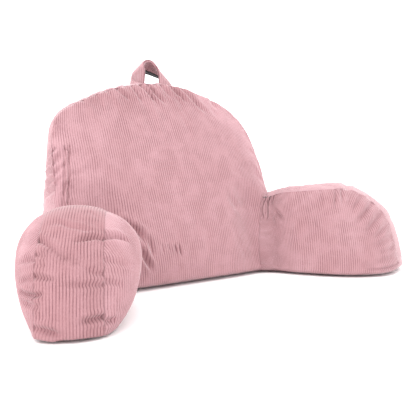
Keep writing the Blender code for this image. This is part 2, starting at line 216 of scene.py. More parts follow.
def quadsOf(ids):
    return np.stack([ids[:-1, :-1], ids[1:, :-1], ids[1:, 1:], ids[:-1, 1:]], axis=-1).reshape(-1, 4)


def surfaceOf(lattice):
    # which of the box's points lie on its surface, their numbers, and the faces between them
    outside = np.zeros(lattice.shape[:3], bool)
    for side in latticeSides(outside).values():
        side[...] = True
    number = np.full(lattice.shape[:3], -1)
    number[outside] = np.arange(outside.sum())
    return outside, number, np.vstack([quadsOf(side) for side in latticeSides(number).values()])


def ringsFromSeam(shape):
    # how many cells each surface point lies from the nearest seam, panels and strip counted apart
    u, v, w = np.meshgrid(*(np.arange(size) for size in shape), indexing="ij")
    lastU, lastV, lastW = (size - 1 for size in shape)
    onPanel = (w == 0) | (w == lastW)
    inPanel = np.minimum(np.minimum(u, lastU - u), lastV - v)
    inStrip = np.minimum(w, lastW - w)
    return np.where(onPanel, np.minimum(inPanel, mostRings), stripRings + np.minimum(inStrip, mostRings))


def averaged(values, pairs, count, rounds):
    # each value drawn towards its neighbours, this many times over
    ones, others = np.r_[pairs[:, 0], pairs[:, 1]], np.r_[pairs[:, 1], pairs[:, 0]]
    neighbours = np.bincount(ones, minlength=count)
    for _ in range(rounds):
        around = np.bincount(ones, weights=values[others], minlength=count) / neighbours
        values = 0.5 * values + 0.5 * around
    return values


def faceOutwards(mesh):
    # turns every face outwards, and counts the edges that are left open
    shape = bmesh.new()
    shape.from_mesh(mesh)
    bmesh.ops.recalc_face_normals(shape, faces=shape.faces)
    openEdges = sum(not edge.is_manifold for edge in shape.edges)
    if shape.calc_volume(signed=True) < 0:
        bmesh.ops.reverse_faces(shape, faces=shape.faces)
    shape.to_mesh(mesh)
    shape.free()
    return openEdges


# What both kinds of cushion share. Each adds its fullness, which is how much larger than the box its
# cloth is cut, the sides that are held, how much of the puckers is kept and where, and settle, which is
# the axis along which they start and from where to where.
caseCloth = {
    "quality": 5, "mass": 0.2, "stiffness": 12, "shear": 5, "bending": 0.10, "pressure": 4.0, "frames": 20,
    "gathering": 0.04,                # how much the seams draw in
    "floorFade": (0.004, 0.030),      # heights over which the puckers start
    "middleRings": (4, 9), "seamRings": (0, 3),
}


def blowUp(name, start, quads, number, cloth):
    # the sewn case under pressure as cloth, and where its points end
    mesh = bpy.data.meshes.new(name + "Case")
    mesh.from_pydata(start.tolist(), [], quads.tolist())
    faceOutwards(mesh)
    case = bpy.data.objects.new(name + "Case", mesh)
    bpy.context.scene.collection.objects.link(case)
    sides = latticeSides(number)
    held = case.vertex_groups.new(name="held")
    for key in cloth["held"]:
        held.add([int(index) for index in sides[key].ravel()], 1.0, "REPLACE")
    seams = case.vertex_groups.new(name="seams")
    for side in (sides["front"], sides["rear"]):
        seams.add([int(index) for index in np.r_[side[0], side[-1], side[:, -1]]], 1.0, "REPLACE")
    sim = case.modifiers.new("stuffing", "CLOTH")
    settings = sim.settings
    settings.quality = cloth["quality"]
    settings.mass = cloth["mass"]
    settings.tension_stiffness = settings.compression_stiffness = cloth["stiffness"]
    settings.shear_stiffness = cloth["shear"]
    settings.bending_stiffness = cloth["bending"]
    settings.use_pressure = True
    settings.uniform_pressure_force = cloth["pressure"]
    settings.effector_weights.gravity = 0
    settings.vertex_group_mass = "held"
    settings.vertex_group_shrink = "seams"
    settings.shrink_min, settings.shrink_max = -cloth["fullness"], cloth["gathering"]
    sim.collision_settings.use_collision = False
    sim.collision_settings.use_self_collision = False
    sim.point_cache.frame_start, sim.point_cache.frame_end = 1, cloth["frames"]
    for step in range(1, cloth["frames"] + 1):
        bpy.context.scene.frame_set(step)
    graph = bpy.context.evaluated_depsgraph_get()
    blown = case.evaluated_get(graph).to_mesh()
    end = np.empty(len(blown.vertices) * 3, np.float32)
    blown.vertices.foreach_get("co", end)
    case.evaluated_get(graph).to_mesh_clear()
    bpy.data.objects.remove(case, do_unlink=True)
    bpy.context.scene.frame_set(1)
    return end.reshape(-1, 3).astype(float)


def stuffByCloth(name, lattice, cloth):
    # moves the box's surface by the small swells and puckers of the blown-up case
    outside, number, quads = surfaceOf(lattice)
    start = lattice[outside]
    normals = latticeNormals(lattice)[outside]
    outward = np.sum((blowUp(name, start, quads, number, cloth) - start) * normals, axis=1)
    pairs = np.vstack([quads[:, [corner, (corner + 1) % 4]] for corner in range(4)])
    pairs = np.unique(np.sort(pairs, axis=1), axis=0)
    local = outward - averaged(outward, pairs, len(start), cloth["smoothing"])
    ring = ringsFromSeam(lattice.shape[:3])[outside]
    ringMean = np.bincount(ring, weights=local) / np.maximum(np.bincount(ring), 1)
    local -= ringMean[ring]
    local = cloth["most"] * np.tanh(local * cloth["gain"] / cloth["most"])
    axis, low, high = cloth["settle"]
    local *= smoothStep(low, high, start[:, axis]) * smoothStep(*cloth["floorFade"], start[:, 2])
    onPanel = 1 - (1 - cloth["middleShare"]) * smoothStep(*cloth["middleRings"], ring)
    local *= np.where(ring >= stripRings, cloth["stripShare"], onPanel)
    besideSeam = smoothStep(*cloth["seamRings"], ring % stripRings)
    local *= cloth["seamShare"] + (1 - cloth["seamShare"]) * besideSeam
    moved, kept, spread = (round(1000 * float(length), 2)
                           for length in (np.abs(outward).max(), np.abs(local).max(), local.std()))
    print("stage:", name, "cloth moved", moved, "mm, kept up to", kept, "mm, spread", spread, "mm")
    start = start + normals * local[:, None]
    start[:, 2] = np.maximum(start[:, 2], 0)
    lattice[outside] = start


def alongPath(path, cloth):
    # how far each point of the cloth lies from the path, and which share of the path is nearest
    path = np.array(path, float)
    lengths = lengthsAlong(path)
    nearest, share = np.full(cloth.shape[:2], np.inf), np.zeros(cloth.shape[:2])
    for start, end, begun, done in zip(path, path[1:], lengths, lengths[1:]):
        span = end - start
        along = np.clip(((cloth - start) @ span) / (span @ span), 0, 1)
        distance = np.linalg.norm(cloth - start - along[..., None] * span, axis=2)
        closer = distance < nearest
        nearest = np.where(closer, distance, nearest)
        share = np.where(closer, (begun + along * (done - begun)) / lengths[-1], share)
    return nearest, share


foldShape = {
    "fadeIn": (-0.05, 0.4), "fadeOut": (0.6, 1.05),   # as shares of the fold's length
    "ridgeHeight": 0.4, "ridgeAway": 2.0,             # in depths and widths of the fold
}


def pressFolds(points, cloth, normals, folds):
    # each fold is (path on the cloth, depth, width, how far either end fades out): a soft trough
    # with a low ridge on either side
    moved = np.zeros(points.shape[:2])
    for path, depth, width, (fadeIn, fadeOut) in folds:
        nearest, share = alongPath(path, cloth)
        taper = 1 - fadeIn * (1 - smoothStep(*foldShape["fadeIn"], share))
        taper *= 1 - fadeOut * smoothStep(*foldShape["fadeOut"], share)
        trough = -depth * bell(nearest, width)
        ridge = foldShape["ridgeHeight"] * depth * bell(nearest - foldShape["ridgeAway"] * width, width)
        moved += (trough + ridge) * taper
    points += normals * moved[..., None]


def driftOver(flat, spacing, seed):
    # a smooth random value, about -1 to 1, that changes over this spacing on the cloth
    cell = (flat - flat.reshape(-1, 2).min(axis=0)) / spacing
    base = cell.astype(int)
    u, v = base[..., 0], base[..., 1]
    grid = np.random.default_rng(seed).uniform(-1, 1, (u.max() + 2, v.max() + 2))
    share = smoothStep(0, 1, cell - base)
    near = grid[u, v] * (1 - share[..., 0]) + grid[u + 1, v] * share[..., 0]
    far = grid[u, v + 1] * (1 - share[..., 0]) + grid[u + 1, v + 1] * share[..., 0]
    return near * (1 - share[..., 1]) + far * share[..., 1]


def napAndSheenOver(look, flat):
    # above 0 the cloth is painted lighter, as a painted sheen highlight, and hides the ribs where the pile
    # lies over; below 0 the pile stands and the cloth is painted darker, as painted shade
    napAndSheen = np.full(flat.shape[:2], look.get("napAndSheen", 0.0))
    for path, width, lighter in look.get("brushedAndSheen", []):
        napAndSheen += lighter * bell(alongPath(path, flat)[0], width)
    if "napZone" in look:
        zone = look["napZone"]
        line = np.interp(flat[..., 1], *np.array(zone["line"]).T)
        napAndSheen += zone["napAndSheen"] * smoothStep(0, zone["blend"], line - flat[..., 0]) * (
            1 - smoothStep(*zone["top"], flat[..., 1]))
    return napAndSheen


ribs = {
    "roundness": 0.8, "sunk": 0.6,              # the section of a rib, and how far it lies below the cloth
    "seamFade": 0.004,                          # the ribs reach their height this far from a seam
    "wanderSpacing": 0.030, "pressedSpacing": 0.022,
    "pressed": (0.85, 0.35),                    # share of the height that stands, and its spread
    "laidOver": 0.5,                            # share of the height lost where the pile lies over
    "seamHidden": 0.8, "seamShadeWidth": 0.0032,
}


def ribHeight(wales):
    # a rib to each whole wale, with its groove at the whole numbers
    return np.abs(np.sin(np.pi * wales)) ** ribs["roundness"] - ribs["sunk"]


def insetRange(cells, count):
    # count places over the cells, stopping short of both seams
    inset = seamInset / coarseCell
    return np.linspace(inset, cells - inset, count)


def clothPatch(coarse, cloth, boxNormals, middle, counts, look):
    # fine cloth over one coarse side, of counts rows and columns. look says which way the wales run
    rows, columns = (insetRange(size - 1, count) for size, count in zip(coarse.shape, counts))
    points = readFinely(coarse, rows, columns)
    flat = readFinely(cloth, rows, columns)
    normals = patchNormals(points) * facingOf(coarse, middle)
    softNormals = unit(readFinely(boxNormals, rows, columns))
    pressFolds(points, flat, normals, look.get("folds", []))
    # the nap-and-sheen mark: painted sheen highlights where it is above 0, painted shade where it is below
    napAndSheen = napAndSheenOver(look, flat)
    lyingOver = np.clip(napAndSheen, 0, 1)
    edge = np.minimum(*edgeDistances(points))
    seamShows = 1 - ribs["seamHidden"] * lyingOver
    points -= softNormals * (look["seamDepth"] * bell(edge, look["seamWidth"]) * seamShows)[..., None]
    if look["wales"] == "columns":
        wales = np.repeat(np.arange(points.shape[1])[None] / columnsPerWale, points.shape[0], axis=0)
    else:       # measured out from the first seam, and cut by the second
        wales = flat[..., 1] / walePitch
    if look["wales"]:
        # the ribs wander a little and are pressed flatter here and there
        fade = smoothStep(0.0, ribs["seamFade"], edge)
        sideways = unit(np.gradient(points, axis=1))
        wander = look["wander"] * driftOver(flat, ribs["wanderSpacing"], look["seed"]) * fade
        points += sideways * wander[..., None]
        mean, spread = ribs["pressed"]
        pressed = mean + spread * driftOver(flat, ribs["pressedSpacing"], look["seed"] + 1)
        pressed = pressed * (1 - ribs["laidOver"] * lyingOver)
        points += normals * (look["waleHeight"] * ribHeight(wales) * fade * pressed)[..., None]
    points[..., 2] = np.maximum(points[..., 2], look.get("floor", 0.0))
    down = lengthsDown(points) if look["wales"] == "columns" else flat[..., 0]
    return {"points": points, "uv": np.stack([wales, down / walePitch], axis=2), "napAndSheen": napAndSheen,
            "seamShade": look["seamShade"] * bell(edge, ribs["seamShadeWidth"]) * seamShows}


def panelPatch(box, flat, boxNormals, side, middle, rows, pitch, look):
    # a panel's wales stand upright, as many as its foot has room for
    wales = round((flat[-1, 0, 0] - flat[0, 0, 0]) / pitch)
    coarse, cloth, soft = (grid.swapaxes(0, 1) for grid in (box[:, :, side], flat, boxNormals[:, :, side]))
    return clothPatch(coarse, cloth, soft, middle, (rows, wales * columnsPerWale + 1), look)


def sideLook(look, napAndSheen, folds, name, wales):
    return {**look["cover"], **napAndSheen[name], "folds": folds[name], "seed": look["seeds"][name], "wales": wales}


def numberPoints(patches):
    # gives each patch the numbers that its points have in the whole cover
    first = 0
    for patch in patches:
        rows, columns = patch["points"].shape[:2]
        patch["ids"] = first + np.arange(rows * columns).reshape(rows, columns)
        first += rows * columns
    return [patch["ids"] for patch in patches]


def ribbonBetween(points, one, other):
    # triangles between two edges that run the same way, taken in turn by how far along they are
    a, b = lengthsAlong(points[one]), lengthsAlong(points[other])
    a, b = a / a[-1], b / b[-1]
    faces = []
    i = j = 0
    while i < len(one) - 1 or j < len(other) - 1:
        if j == len(other) - 1 or (i < len(one) - 1 and a[i + 1] <= b[j + 1]):
            faces.append([int(one[i]), int(one[i + 1]), int(other[j])])
            i += 1
        else:
            faces.append([int(one[i]), int(other[j + 1]), int(other[j])])
            j += 1
    return faces


def makePiece(name, points, faces, uvs, marks, material):
    # one object of cloth, with its map counted in wales and a value of each mark at every point
    mesh = bpy.data.meshes.new(name)
    mesh.from_pydata(points.tolist(), [], faces)
    layer = mesh.uv_layers.new(name="cloth")
    order = np.empty(len(mesh.loops), np.int32)
    mesh.loops.foreach_get("vertex_index", order)
    layer.data.foreach_set("uv", uvs[order].astype(np.float32).ravel())
    for mark, values in marks.items():
        painted = mesh.attributes.new(mark, "FLOAT", "POINT")
        painted.data.foreach_set("value", values.astype(np.float32))
    openEdges = faceOutwards(mesh)
    mesh.shade_smooth()
    mesh.materials.append(material)
    piece = bpy.data.objects.new(name, mesh)
    bpy.context.scene.collection.objects.link(piece)
    print("stage:", name, len(mesh.polygons), "faces,", openEdges, "open edges")
    return piece


def sewTogether(name, patches, seams, corners, material):
    # joins the patches into one closed mesh: a ribbon along each seam, a triangle at each corner
    points = np.vstack([patch["points"].reshape(-1, 3) for patch in patches])
    uvs = np.vstack([patch["uv"].reshape(-1, 2) for patch in patches])
    marks = {mark: np.concatenate([patch[mark].ravel() for patch in patches])
             for mark in ("seamShade", "napAndSheen")}
    faces = np.vstack([quadsOf(patch["ids"]) for patch in patches]).tolist()
    for one, other in seams:
        faces += ribbonBetween(points, one, other)
    faces += [[int(corner) for corner in triangle] for triangle in corners]
    return makePiece(name, points, faces, uvs, marks, material)


def addSocket(group, name, kind, way="INPUT"):
    group.interface.new_socket(name=name, in_out=way, socket_type="NodeSocket" + kind)


def fill(tree, socket, value):
    # a link where the value comes from another node, and the plain value otherwise
    if isinstance(value, bpy.types.NodeSocket):
        tree.links.new(value, socket)
    else:
        socket.default_value = value


def calculate(tree, operation, *values):
    node = tree.nodes.new("ShaderNodeMath")
    node.operation = operation
    for socket, value in zip(node.inputs, values):
        fill(tree, socket, value)
    return node.outputs[0]


def rangeOf(tree, value, given, wanted, way="LINEAR"):
    # the value from the given range to the wanted one
    node = tree.nodes.new("ShaderNodeMapRange")
    node.interpolation_type = way
    fill(tree, node.inputs["Value"], value)
    for name, end in zip(("From Min", "From Max", "To Min", "To Max"), (*given, *wanted)):
        node.inputs[name].default_value = end
    return node.outputs[0]


def blend(tree, share, first, second, way="MIX"):
    node = tree.nodes.new("ShaderNodeMix")
    node.data_type = "RGBA"
    node.blend_type = way
    for name, value in (("Factor", share), ("A", first), ("B", second)):
        fill(tree, node.inputs[name], value)
    return node.outputs["Result"]


def noiseOver(tree, vector, look):
    # a noise, drawn out where the look says so
    node = tree.nodes.new("ShaderNodeTexNoise")
    node.inputs["Scale"].default_value = look.get("scale", 1.0)
    node.inputs["Detail"].default_value = look["detail"]
    node.inputs["Roughness"].default_value = look.get("roughness", 0.5)
    if "stretch" in look:
        drawnOut = tree.nodes.new("ShaderNodeMapping")
        drawnOut.inputs["Scale"].default_value = look["stretch"]
        tree.links.new(vector, drawnOut.inputs["Vector"])
        vector = drawnOut.outputs[0]
    tree.links.new(vector, node.inputs["Vector"])
    return node.outputs["Fac"]


def clothMap(tree):
    uv = tree.nodes.new("ShaderNodeUVMap")
    uv.uv_map = "cloth"
    return uv.outputs["UV"]


def firstOf(tree, vector):
    # the map's first coordinate, which counts the wales
    split = tree.nodes.new("ShaderNodeSeparateXYZ")
    tree.links.new(vector, split.inputs[0])
    return split.outputs[0]


pileLook = {
    "groove": (0.22, 0.5),            # where a groove starts and is deepest, in wales from a rib's crown
    "brushedAndSheen": {"stretch": (22.0, 22.0, 10.0), "detail": 4.0, "roughness": 0.55},
    "rubbed": {"scale": 38.0, "detail": 4.0},
    "rubbedRange": (0.40, 0.58), "rubbedOpen": 0.4,   # how open a groove stays where the wales lie together
    "lyingOpen": 0.4,                 # and where the pile lies over
    "tufts": {"stretch": (5.0, 1.6, 1.0), "detail": 3.0}, "tuftShare": 0.45,
    "grooveDrop": -0.6,               # the groove's height in the bump, where the tufts reach up to 1
}


def buildCorduroyGroup(look):
    # colour and pile height of ribbed cloth, from a UV map counted in wales
    group = bpy.data.node_groups.new("corduroyPile", "ShaderNodeTree")
    for name in ("Cloth UV", "Place"):
        addSocket(group, name, "Vector")
    for name in ("Pile Colour", "Groove Colour", "Brushed And Sheen Colour"):
        addSocket(group, name, "Color")
    for name in ("Groove Depth", "Seam", "NapAndSheen"):
        addSocket(group, name, "Float")
    addSocket(group, "Colour", "Color", "OUTPUT")
    addSocket(group, "Height", "Float", "OUTPUT")
    given = group.nodes.new("NodeGroupInput").outputs
    result = group.nodes.new("NodeGroupOutput").inputs

    inWale = calculate(group, "FRACT", firstOf(group, given["Cloth UV"]))
    fromCrown = calculate(group, "ABSOLUTE", calculate(group, "SUBTRACT", inWale, 0.5))
    groove = rangeOf(group, fromCrown, look["groove"], (0.0, 1.0), "SMOOTHSTEP")
    # how far the colour goes to the pale colour: up with the pile brushed at random, up with the painted
    # sheen highlight of the nap-and-sheen mark, and down with its painted shade
    brushedAndSheen = noiseOver(group, given["Place"], look["brushedAndSheen"])
    brushedAndSheenShare = calculate(group, "ADD", brushedAndSheen, given["NapAndSheen"])
    # the grooves close where the wales lie together, and where the pile lies over
    rubbed = noiseOver(group, given["Place"], look["rubbed"])
    apart = rangeOf(group, rubbed, look["rubbedRange"], (look["rubbedOpen"], 1.0))
    standing = rangeOf(group, given["NapAndSheen"], (0.0, 1.0), (1.0, look["lyingOpen"]))
    openGroove = calculate(group, "MULTIPLY", calculate(group, "MULTIPLY", groove, apart), standing)
    # a few tufts to a wale, long way down the rib
    tufts = noiseOver(group, given["Cloth UV"], look["tufts"])

    grooveShare = calculate(group, "MULTIPLY", openGroove, given["Groove Depth"])
    pile = blend(group, brushedAndSheenShare, given["Pile Colour"], given["Brushed And Sheen Colour"])
    ribbed = blend(group, grooveShare, pile, given["Groove Colour"])
    # painted shade: darker towards the groove colour along the seams, on the loop's underside and beside its
    # pinch
    shaded = blend(group, given["Seam"], ribbed, given["Groove Colour"])
    fill(group, result["Colour"], blend(group, look["tuftShare"], shaded, tufts, "SOFT_LIGHT"))
    drop = calculate(group, "MULTIPLY", openGroove, look["grooveDrop"])
    fill(group, result["Height"], calculate(group, "ADD", drop, tufts))
    return group


clothLook = {
    "Pile Colour": (0.345, 0.180, 0.193),
    "Groove Colour": (0.140, 0.056, 0.065),
    # the pale colour of brushed pile, also used for the painted sheen highlight
    "Brushed And Sheen Colour": (0.455, 0.262, 0.285),
    "Groove Depth": 0.80,
    "bump": 0.6, "bumpDistance": 0.0006,
    "Roughness": 0.92, "Specular IOR Level": 0.12,
    "Sheen Weight": 0.75, "Sheen Roughness": 0.38, "Sheen Tint": (1.0, 0.92, 0.93),
}


def clothMaterial(name, group, look):
    material = bpy.data.materials.new(name)
    material.use_nodes = True
    tree = material.node_tree
    surface = tree.nodes["Principled BSDF"].inputs
    pile = tree.nodes.new("ShaderNodeGroup")
    pile.node_tree = group
    fill(tree, pile.inputs["Cloth UV"], clothMap(tree))
    fill(tree, pile.inputs["Place"], tree.nodes.new("ShaderNodeTexCoord").outputs["Object"])
    for mark, socket in (("seamShade", "Seam"), ("napAndSheen", "NapAndSheen")):
        painted = tree.nodes.new("ShaderNodeAttribute")
        painted.attribute_name = mark
        fill(tree, pile.inputs[socket], painted.outputs["Fac"])
    for key in ("Pile Colour", "Groove Colour", "Brushed And Sheen Colour"):
        pile.inputs[key].default_value = (*look[key], 1.0)
    pile.inputs["Groove Depth"].default_value = look["Groove Depth"]
    bump = tree.nodes.new("ShaderNodeBump")
    bump.inputs["Strength"].default_value = look["bump"]
    bump.inputs["Distance"].default_value = look["bumpDistance"]
    fill(tree, bump.inputs["Height"], pile.outputs["Height"])
    fill(tree, surface["Base Color"], pile.outputs["Colour"])
    fill(tree, surface["Normal"], bump.outputs["Normal"])
    for key in ("Roughness", "Specular IOR Level", "Sheen Weight", "Sheen Roughness"):
        surface[key].default_value = look[key]
    surface["Sheen Tint"].default_value = (*look["Sheen Tint"], 1.0)
    return material


corduroyGroup = buildCorduroyGroup(pileLook)
corduroy = clothMaterial("dustyPinkCorduroy", corduroyGroup, clothLook)
# the left arm is seen along its wales, where standing pile hardly gleams
standingCorduroy = clothMaterial("standingPileCorduroy", corduroyGroup, {**clothLook, "Sheen Weight": 0.40})
# the right arm's copy has a paler brushed colour, shown where its pile lies over and, on its strip, as a
# painted sheen highlight
sheenPaintedCorduroy = clothMaterial("sheenPaintedPileCorduroy", corduroyGroup,
                              {**clothLook, "Brushed And Sheen Colour": (0.448, 0.272, 0.294)})
# the loop's strap is a little paler
loopCorduroy = clothMaterial("loopCorduroy", corduroyGroup,
                             {**clothLook, "Pile Colour": (0.370, 0.198, 0.212)})


backLook = {
    "baseDepth": 0.190, "frontLean": math.radians(20), "rearLean": math.radians(7),
    "rearWidthFloor": 0.955, "rearWidthTop": 0.69, "rearHeight": 0.925,
    "frontCrown": 0.034, "rearCrown": 0.034, "stripCrown": 0.013, "stripCrownHeights": (0, 0.080),
    "domePower": 4.0, "floorCrown": 0.10, "floorRise": 0.050,
    "armSeamX": 0.204, "armSeamPull": 0.85, "armSeamWidth": 0.050, "armSeamHeights": (0.15, 0.24),
    # the front panel's edge, across and up
    "seam": [(-0.276, 0.000), (-0.284, 0.090), (-0.287, 0.180), (-0.280, 0.235), (-0.275, 0.290),
             (-0.269, 0.325), (-0.256, 0.356), (-0.232, 0.377), (-0.199, 0.392), (-0.134, 0.416),
             (-0.053, 0.435), (0.018, 0.440), (0.086, 0.435), (0.140, 0.419), (0.197, 0.395),
             (0.238, 0.361), (0.258, 0.326), (0.272, 0.291), (0.280, 0.254), (0.284, 0.200),
             (0.283, 0.100), (0.276, 0.000)],
    "seamPoints": 600,
    "shoulders": ((-0.258, 0.353), (0.262, 0.318)),   # where the top edge meets the side edges
    "panelMiddle": (0.0, 0.2), "middle": (0.0, 0.0, 0.2),
    "foot": {"radius": 0.006, "lift": 0.007, "blend": 0.030, "reach": 0.040},
    "cells": (92, 70, 32),            # coarse cells across, up and front to rear
    "rows": {"front": 130, "rear": 90}, "stripGrid": (260, 145), "baseGrid": (61, 19),
    "seeds": {"front": 11, "rear": 43, "strip": 17},
    "cover": {"waleHeight": 0.0009, "wander": 0.0008,
              "seamDepth": 0.0012, "seamWidth": 0.0042, "seamShade": 0.06},
}
backCloth = {**caseCloth, "held": ["base"], "fullness": 0.03, "smoothing": 24, "gain": 0.8, "most": 0.005,
             "settle": (2, 0.005, 0.060), "stripShare": 0.6, "middleShare": 0.45, "seamShare": 0.5}
backNapAndSheen = {
    "front": {
        "napAndSheen": 0.06,
        # the paths (path, width, how much lighter) are painted lighter as painted highlights, and darker as
        # painted shade where the value is below 0
        "brushedAndSheen": [([(0.150, 0.412), (0.240, 0.350), (0.272, 0.270), (0.282, 0.200)], 0.030, 0.8),
                    ([(-0.225, 0.050), (-0.235, 0.200), (-0.215, 0.320)], 0.060, 0.25),
                    ([(-0.150, 0.400), (0.020, 0.425), (0.130, 0.400)], 0.045, -0.2)],
        # the pile lies flat between the left seam and this line, which is (up, across), and the cloth there
        # is painted lighter, a painted sheen highlight
        "napZone": {"line": [(0.000, -0.284), (0.188, -0.274), (0.223, -0.263), (0.263, -0.254),
                             (0.300, -0.246)],
                    "napAndSheen": 0.6, "blend": 0.006, "top": (0.290, 0.330)},
    },
    "rear": {},
    # the strip is painted lighter all over, a painted sheen highlight
    "strip": {"napAndSheen": 0.3},
}


def buildBackLattice(look):
    nU, nV, nW = look["cells"]
    dome = curveThrough(look["seam"], look["seamPoints"])
    marks = [int(np.argmin(np.linalg.norm(dome - np.array(mark), axis=1))) for mark in look["shoulders"]]
    left = evenly(dome[: marks[0] + 1], nV + 1)
    top = evenlyAcross(dome[marks[0] : marks[1] + 1], nU + 1)
    top[0], top[-1] = left[-1], dome[marks[1]]
    right = evenly(dome[marks[1] :], nV + 1)[::-1]
    bottom = np.column_stack([np.linspace(left[0, 0], right[0, 0], nU + 1), np.zeros(nU + 1)])
    flat = fillPatch(bottom, top, left, right)
    across, height = flat[..., 0], flat[..., 1]
    swell = stuffing(flat, dome, look["domePower"], look["floorCrown"], look["floorRise"])

    besideArm = bell(np.abs(across) - look["armSeamX"], look["armSeamWidth"])
    pull = look["armSeamPull"] * besideArm * (1 - smoothStep(*look["armSeamHeights"], height))
    frontDepth = height * math.tan(look["frontLean"]) - look["frontCrown"] * swell * (1 - pull)
    topShare = height / dome[:, 1].max()
    narrowed = look["rearWidthFloor"] + (look["rearWidthTop"] - look["rearWidthFloor"]) * topShare
    rearHeight = height * look["rearHeight"]
    rearDepth = look["baseDepth"] / 2 + rearHeight * math.tan(look["rearLean"]) + look["rearCrown"] * swell

    lattice = np.zeros((nU + 1, nV + 1, nW + 1, 3))
    lattice[:, :, 0] = np.stack([across, frontDepth - look["baseDepth"] / 2, height], axis=-1)
    lattice[:, :, nW] = np.stack([across * narrowed, rearDepth, rearHeight], axis=-1)
    for rows, columns in ((0, slice(None)), (nU, slice(None)), (slice(None), nV)):
        curve = flat[rows, columns]
        normals = edgeNormals(curve)
        fromMiddle = curve - np.array(look["panelMiddle"])
        normals *= np.sign(np.sum(normals[:, [0, 2]] * fromMiddle, axis=1))[:, None]
        crown = look["stripCrown"] * smoothStep(*look["stripCrownHeights"], curve[:, 1])
        spanPanels(lattice, rows, columns, normals, crown)
    spanPanels(lattice, slice(None), 0, np.zeros((nU + 1, 3)), np.zeros(nU + 1))
    lattice[:, 0, :, 2] = 0.0
    roundFoot(lattice, look["foot"])
    return lattice, flat


backFolds = {
    "front": [
        # the twin creases beside the left seam, and the short pulls between them and it
        ([(-0.240, 0.300), (-0.248, 0.263), (-0.256, 0.223), (-0.265, 0.188)], 0.0034, 0.0021, (0.3, 0)),
        ([(-0.249, 0.297), (-0.258, 0.258), (-0.265, 0.220), (-0.273, 0.186)], 0.0030, 0.0021, (0.3, 0.4)),
        ([(-0.252, 0.300), (-0.243, 0.290), (-0.239, 0.283)], 0.0024, 0.0022, (0.6, 1)),
        ([(-0.276, 0.246), (-0.268, 0.256), (-0.261, 0.263)], 0.0030, 0.0040, (0, 1)),
        ([(-0.278, 0.226), (-0.270, 0.236), (-0.264, 0.243)], 0.0030, 0.0040, (0, 1)),
        ([(-0.274, 0.268), (-0.266, 0.278), (-0.258, 0.286)], 0.0030, 0.0040, (0, 1)),
        ([(-0.272, 0.293), (-0.266, 0.298)], 0.0040, 0.0035, (0, 1)),
        # pulled cloth below the carrying loop
        ([(-0.092, 0.428), (-0.076, 0.410), (-0.063, 0.398)], 0.0044, 0.0040, (0, 1)),
        ([(-0.050, 0.430), (-0.034, 0.398)], 0.0038, 0.0040, (0, 1)),
        ([(-0.026, 0.436), (-0.009, 0.414), (0.003, 0.397)], 0.0054, 0.0045, (0, 1)),
        ([(-0.008, 0.438), (0.011, 0.411), (0.029, 0.392)], 0.0054, 0.0045, (0, 1)),
        ([(0.030, 0.436), (0.046, 0.414), (0.058, 0.402)], 0.0036, 0.0045, (0, 1)),
        ([(0.055, 0.436), (0.076, 0.416), (0.092, 0.395)], 0.0054, 0.0045, (0, 1)),
        ([(0.088, 0.430), (0.113, 0.403), (0.130, 0.384), (0.148, 0.372)], 0.0040, 0.0050, (0, 1)),
        # short pulls along the rest of the top seam
        ([(-0.185, 0.402), (-0.176, 0.390)], 0.0022, 0.0045, (1, 1)),
        ([(-0.150, 0.414), (-0.136, 0.394)], 0.0026, 0.0050, (1, 1)),
        ([(-0.118, 0.421), (-0.108, 0.406)], 0.0024, 0.0045, (1, 1)),
        ([(0.168, 0.402), (0.182, 0.384)], 0.0030, 0.0050, (0, 1)),
        # where the arms pull at the panel
        ([(-0.150, 0.142), (-0.122, 0.119), (-0.110, 0.096)], 0.0100, 0.0070, (0.5, 1)),
        ([(-0.134, 0.100), (-0.118, 0.067), (-0.100, 0.034)], 0.0100, 0.0055, (0.5, 1)),
        ([(-0.107, 0.122), (-0.101, 0.092), (-0.099, 0.066)], 0.0045, 0.0050, (1, 1)),
        ([(-0.071, 0.098), (-0.075, 0.071)], 0.0024, 0.0028, (1, 1)),
        ([(-0.056, 0.095), (-0.056, 0.077)], 0.0020, 0.0028, (1, 1)),
        ([(-0.039, 0.093), (-0.042, 0.070)], 0.0030, 0.0028, (1, 1)),
        ([(-0.031, 0.094), (-0.028, 0.061)], 0.0036, 0.0028, (1, 1)),
        ([(0.133, 0.190), (0.159, 0.156), (0.176, 0.140)], 0.0030, 0.0080, (1, 1)),
    ],
    "strip": [
        ([(0.306, 0.004), (0.298, 0.030), (0.288, 0.060)], 0.0045, 0.0045, (0, 1)),
        ([(0.288, 0.000), (0.280, 0.036), (0.272, 0.072)], 0.0050, 0.0045, (0, 1)),
        ([(0.268, 0.000), (0.259, 0.038), (0.250, 0.072)], 0.0055, 0.0045, (0, 1)),
        ([(0.247, 0.000), (0.237, 0.039), (0.229, 0.075)], 0.0055, 0.0045, (0, 1)),
        ([(0.228, 0.000), (0.216, 0.045), (0.209, 0.093)], 0.0055, 0.0055, (0, 1)),
    ],
    "rear": [
        ([(-0.215, 0.355), (-0.140, 0.300)], 0.0050, 0.0120, (1, 1)),
        ([(0.225, 0.345), (0.150, 0.280)], 0.0050, 0.0120, (1, 1)),
        ([(-0.240, 0.055), (-0.160, 0.100)], 0.0050, 0.0130, (1, 1)),
        ([(0.240, 0.055), (0.160, 0.100)], 0.0050, 0.0130, (1, 1)),
    ],
}


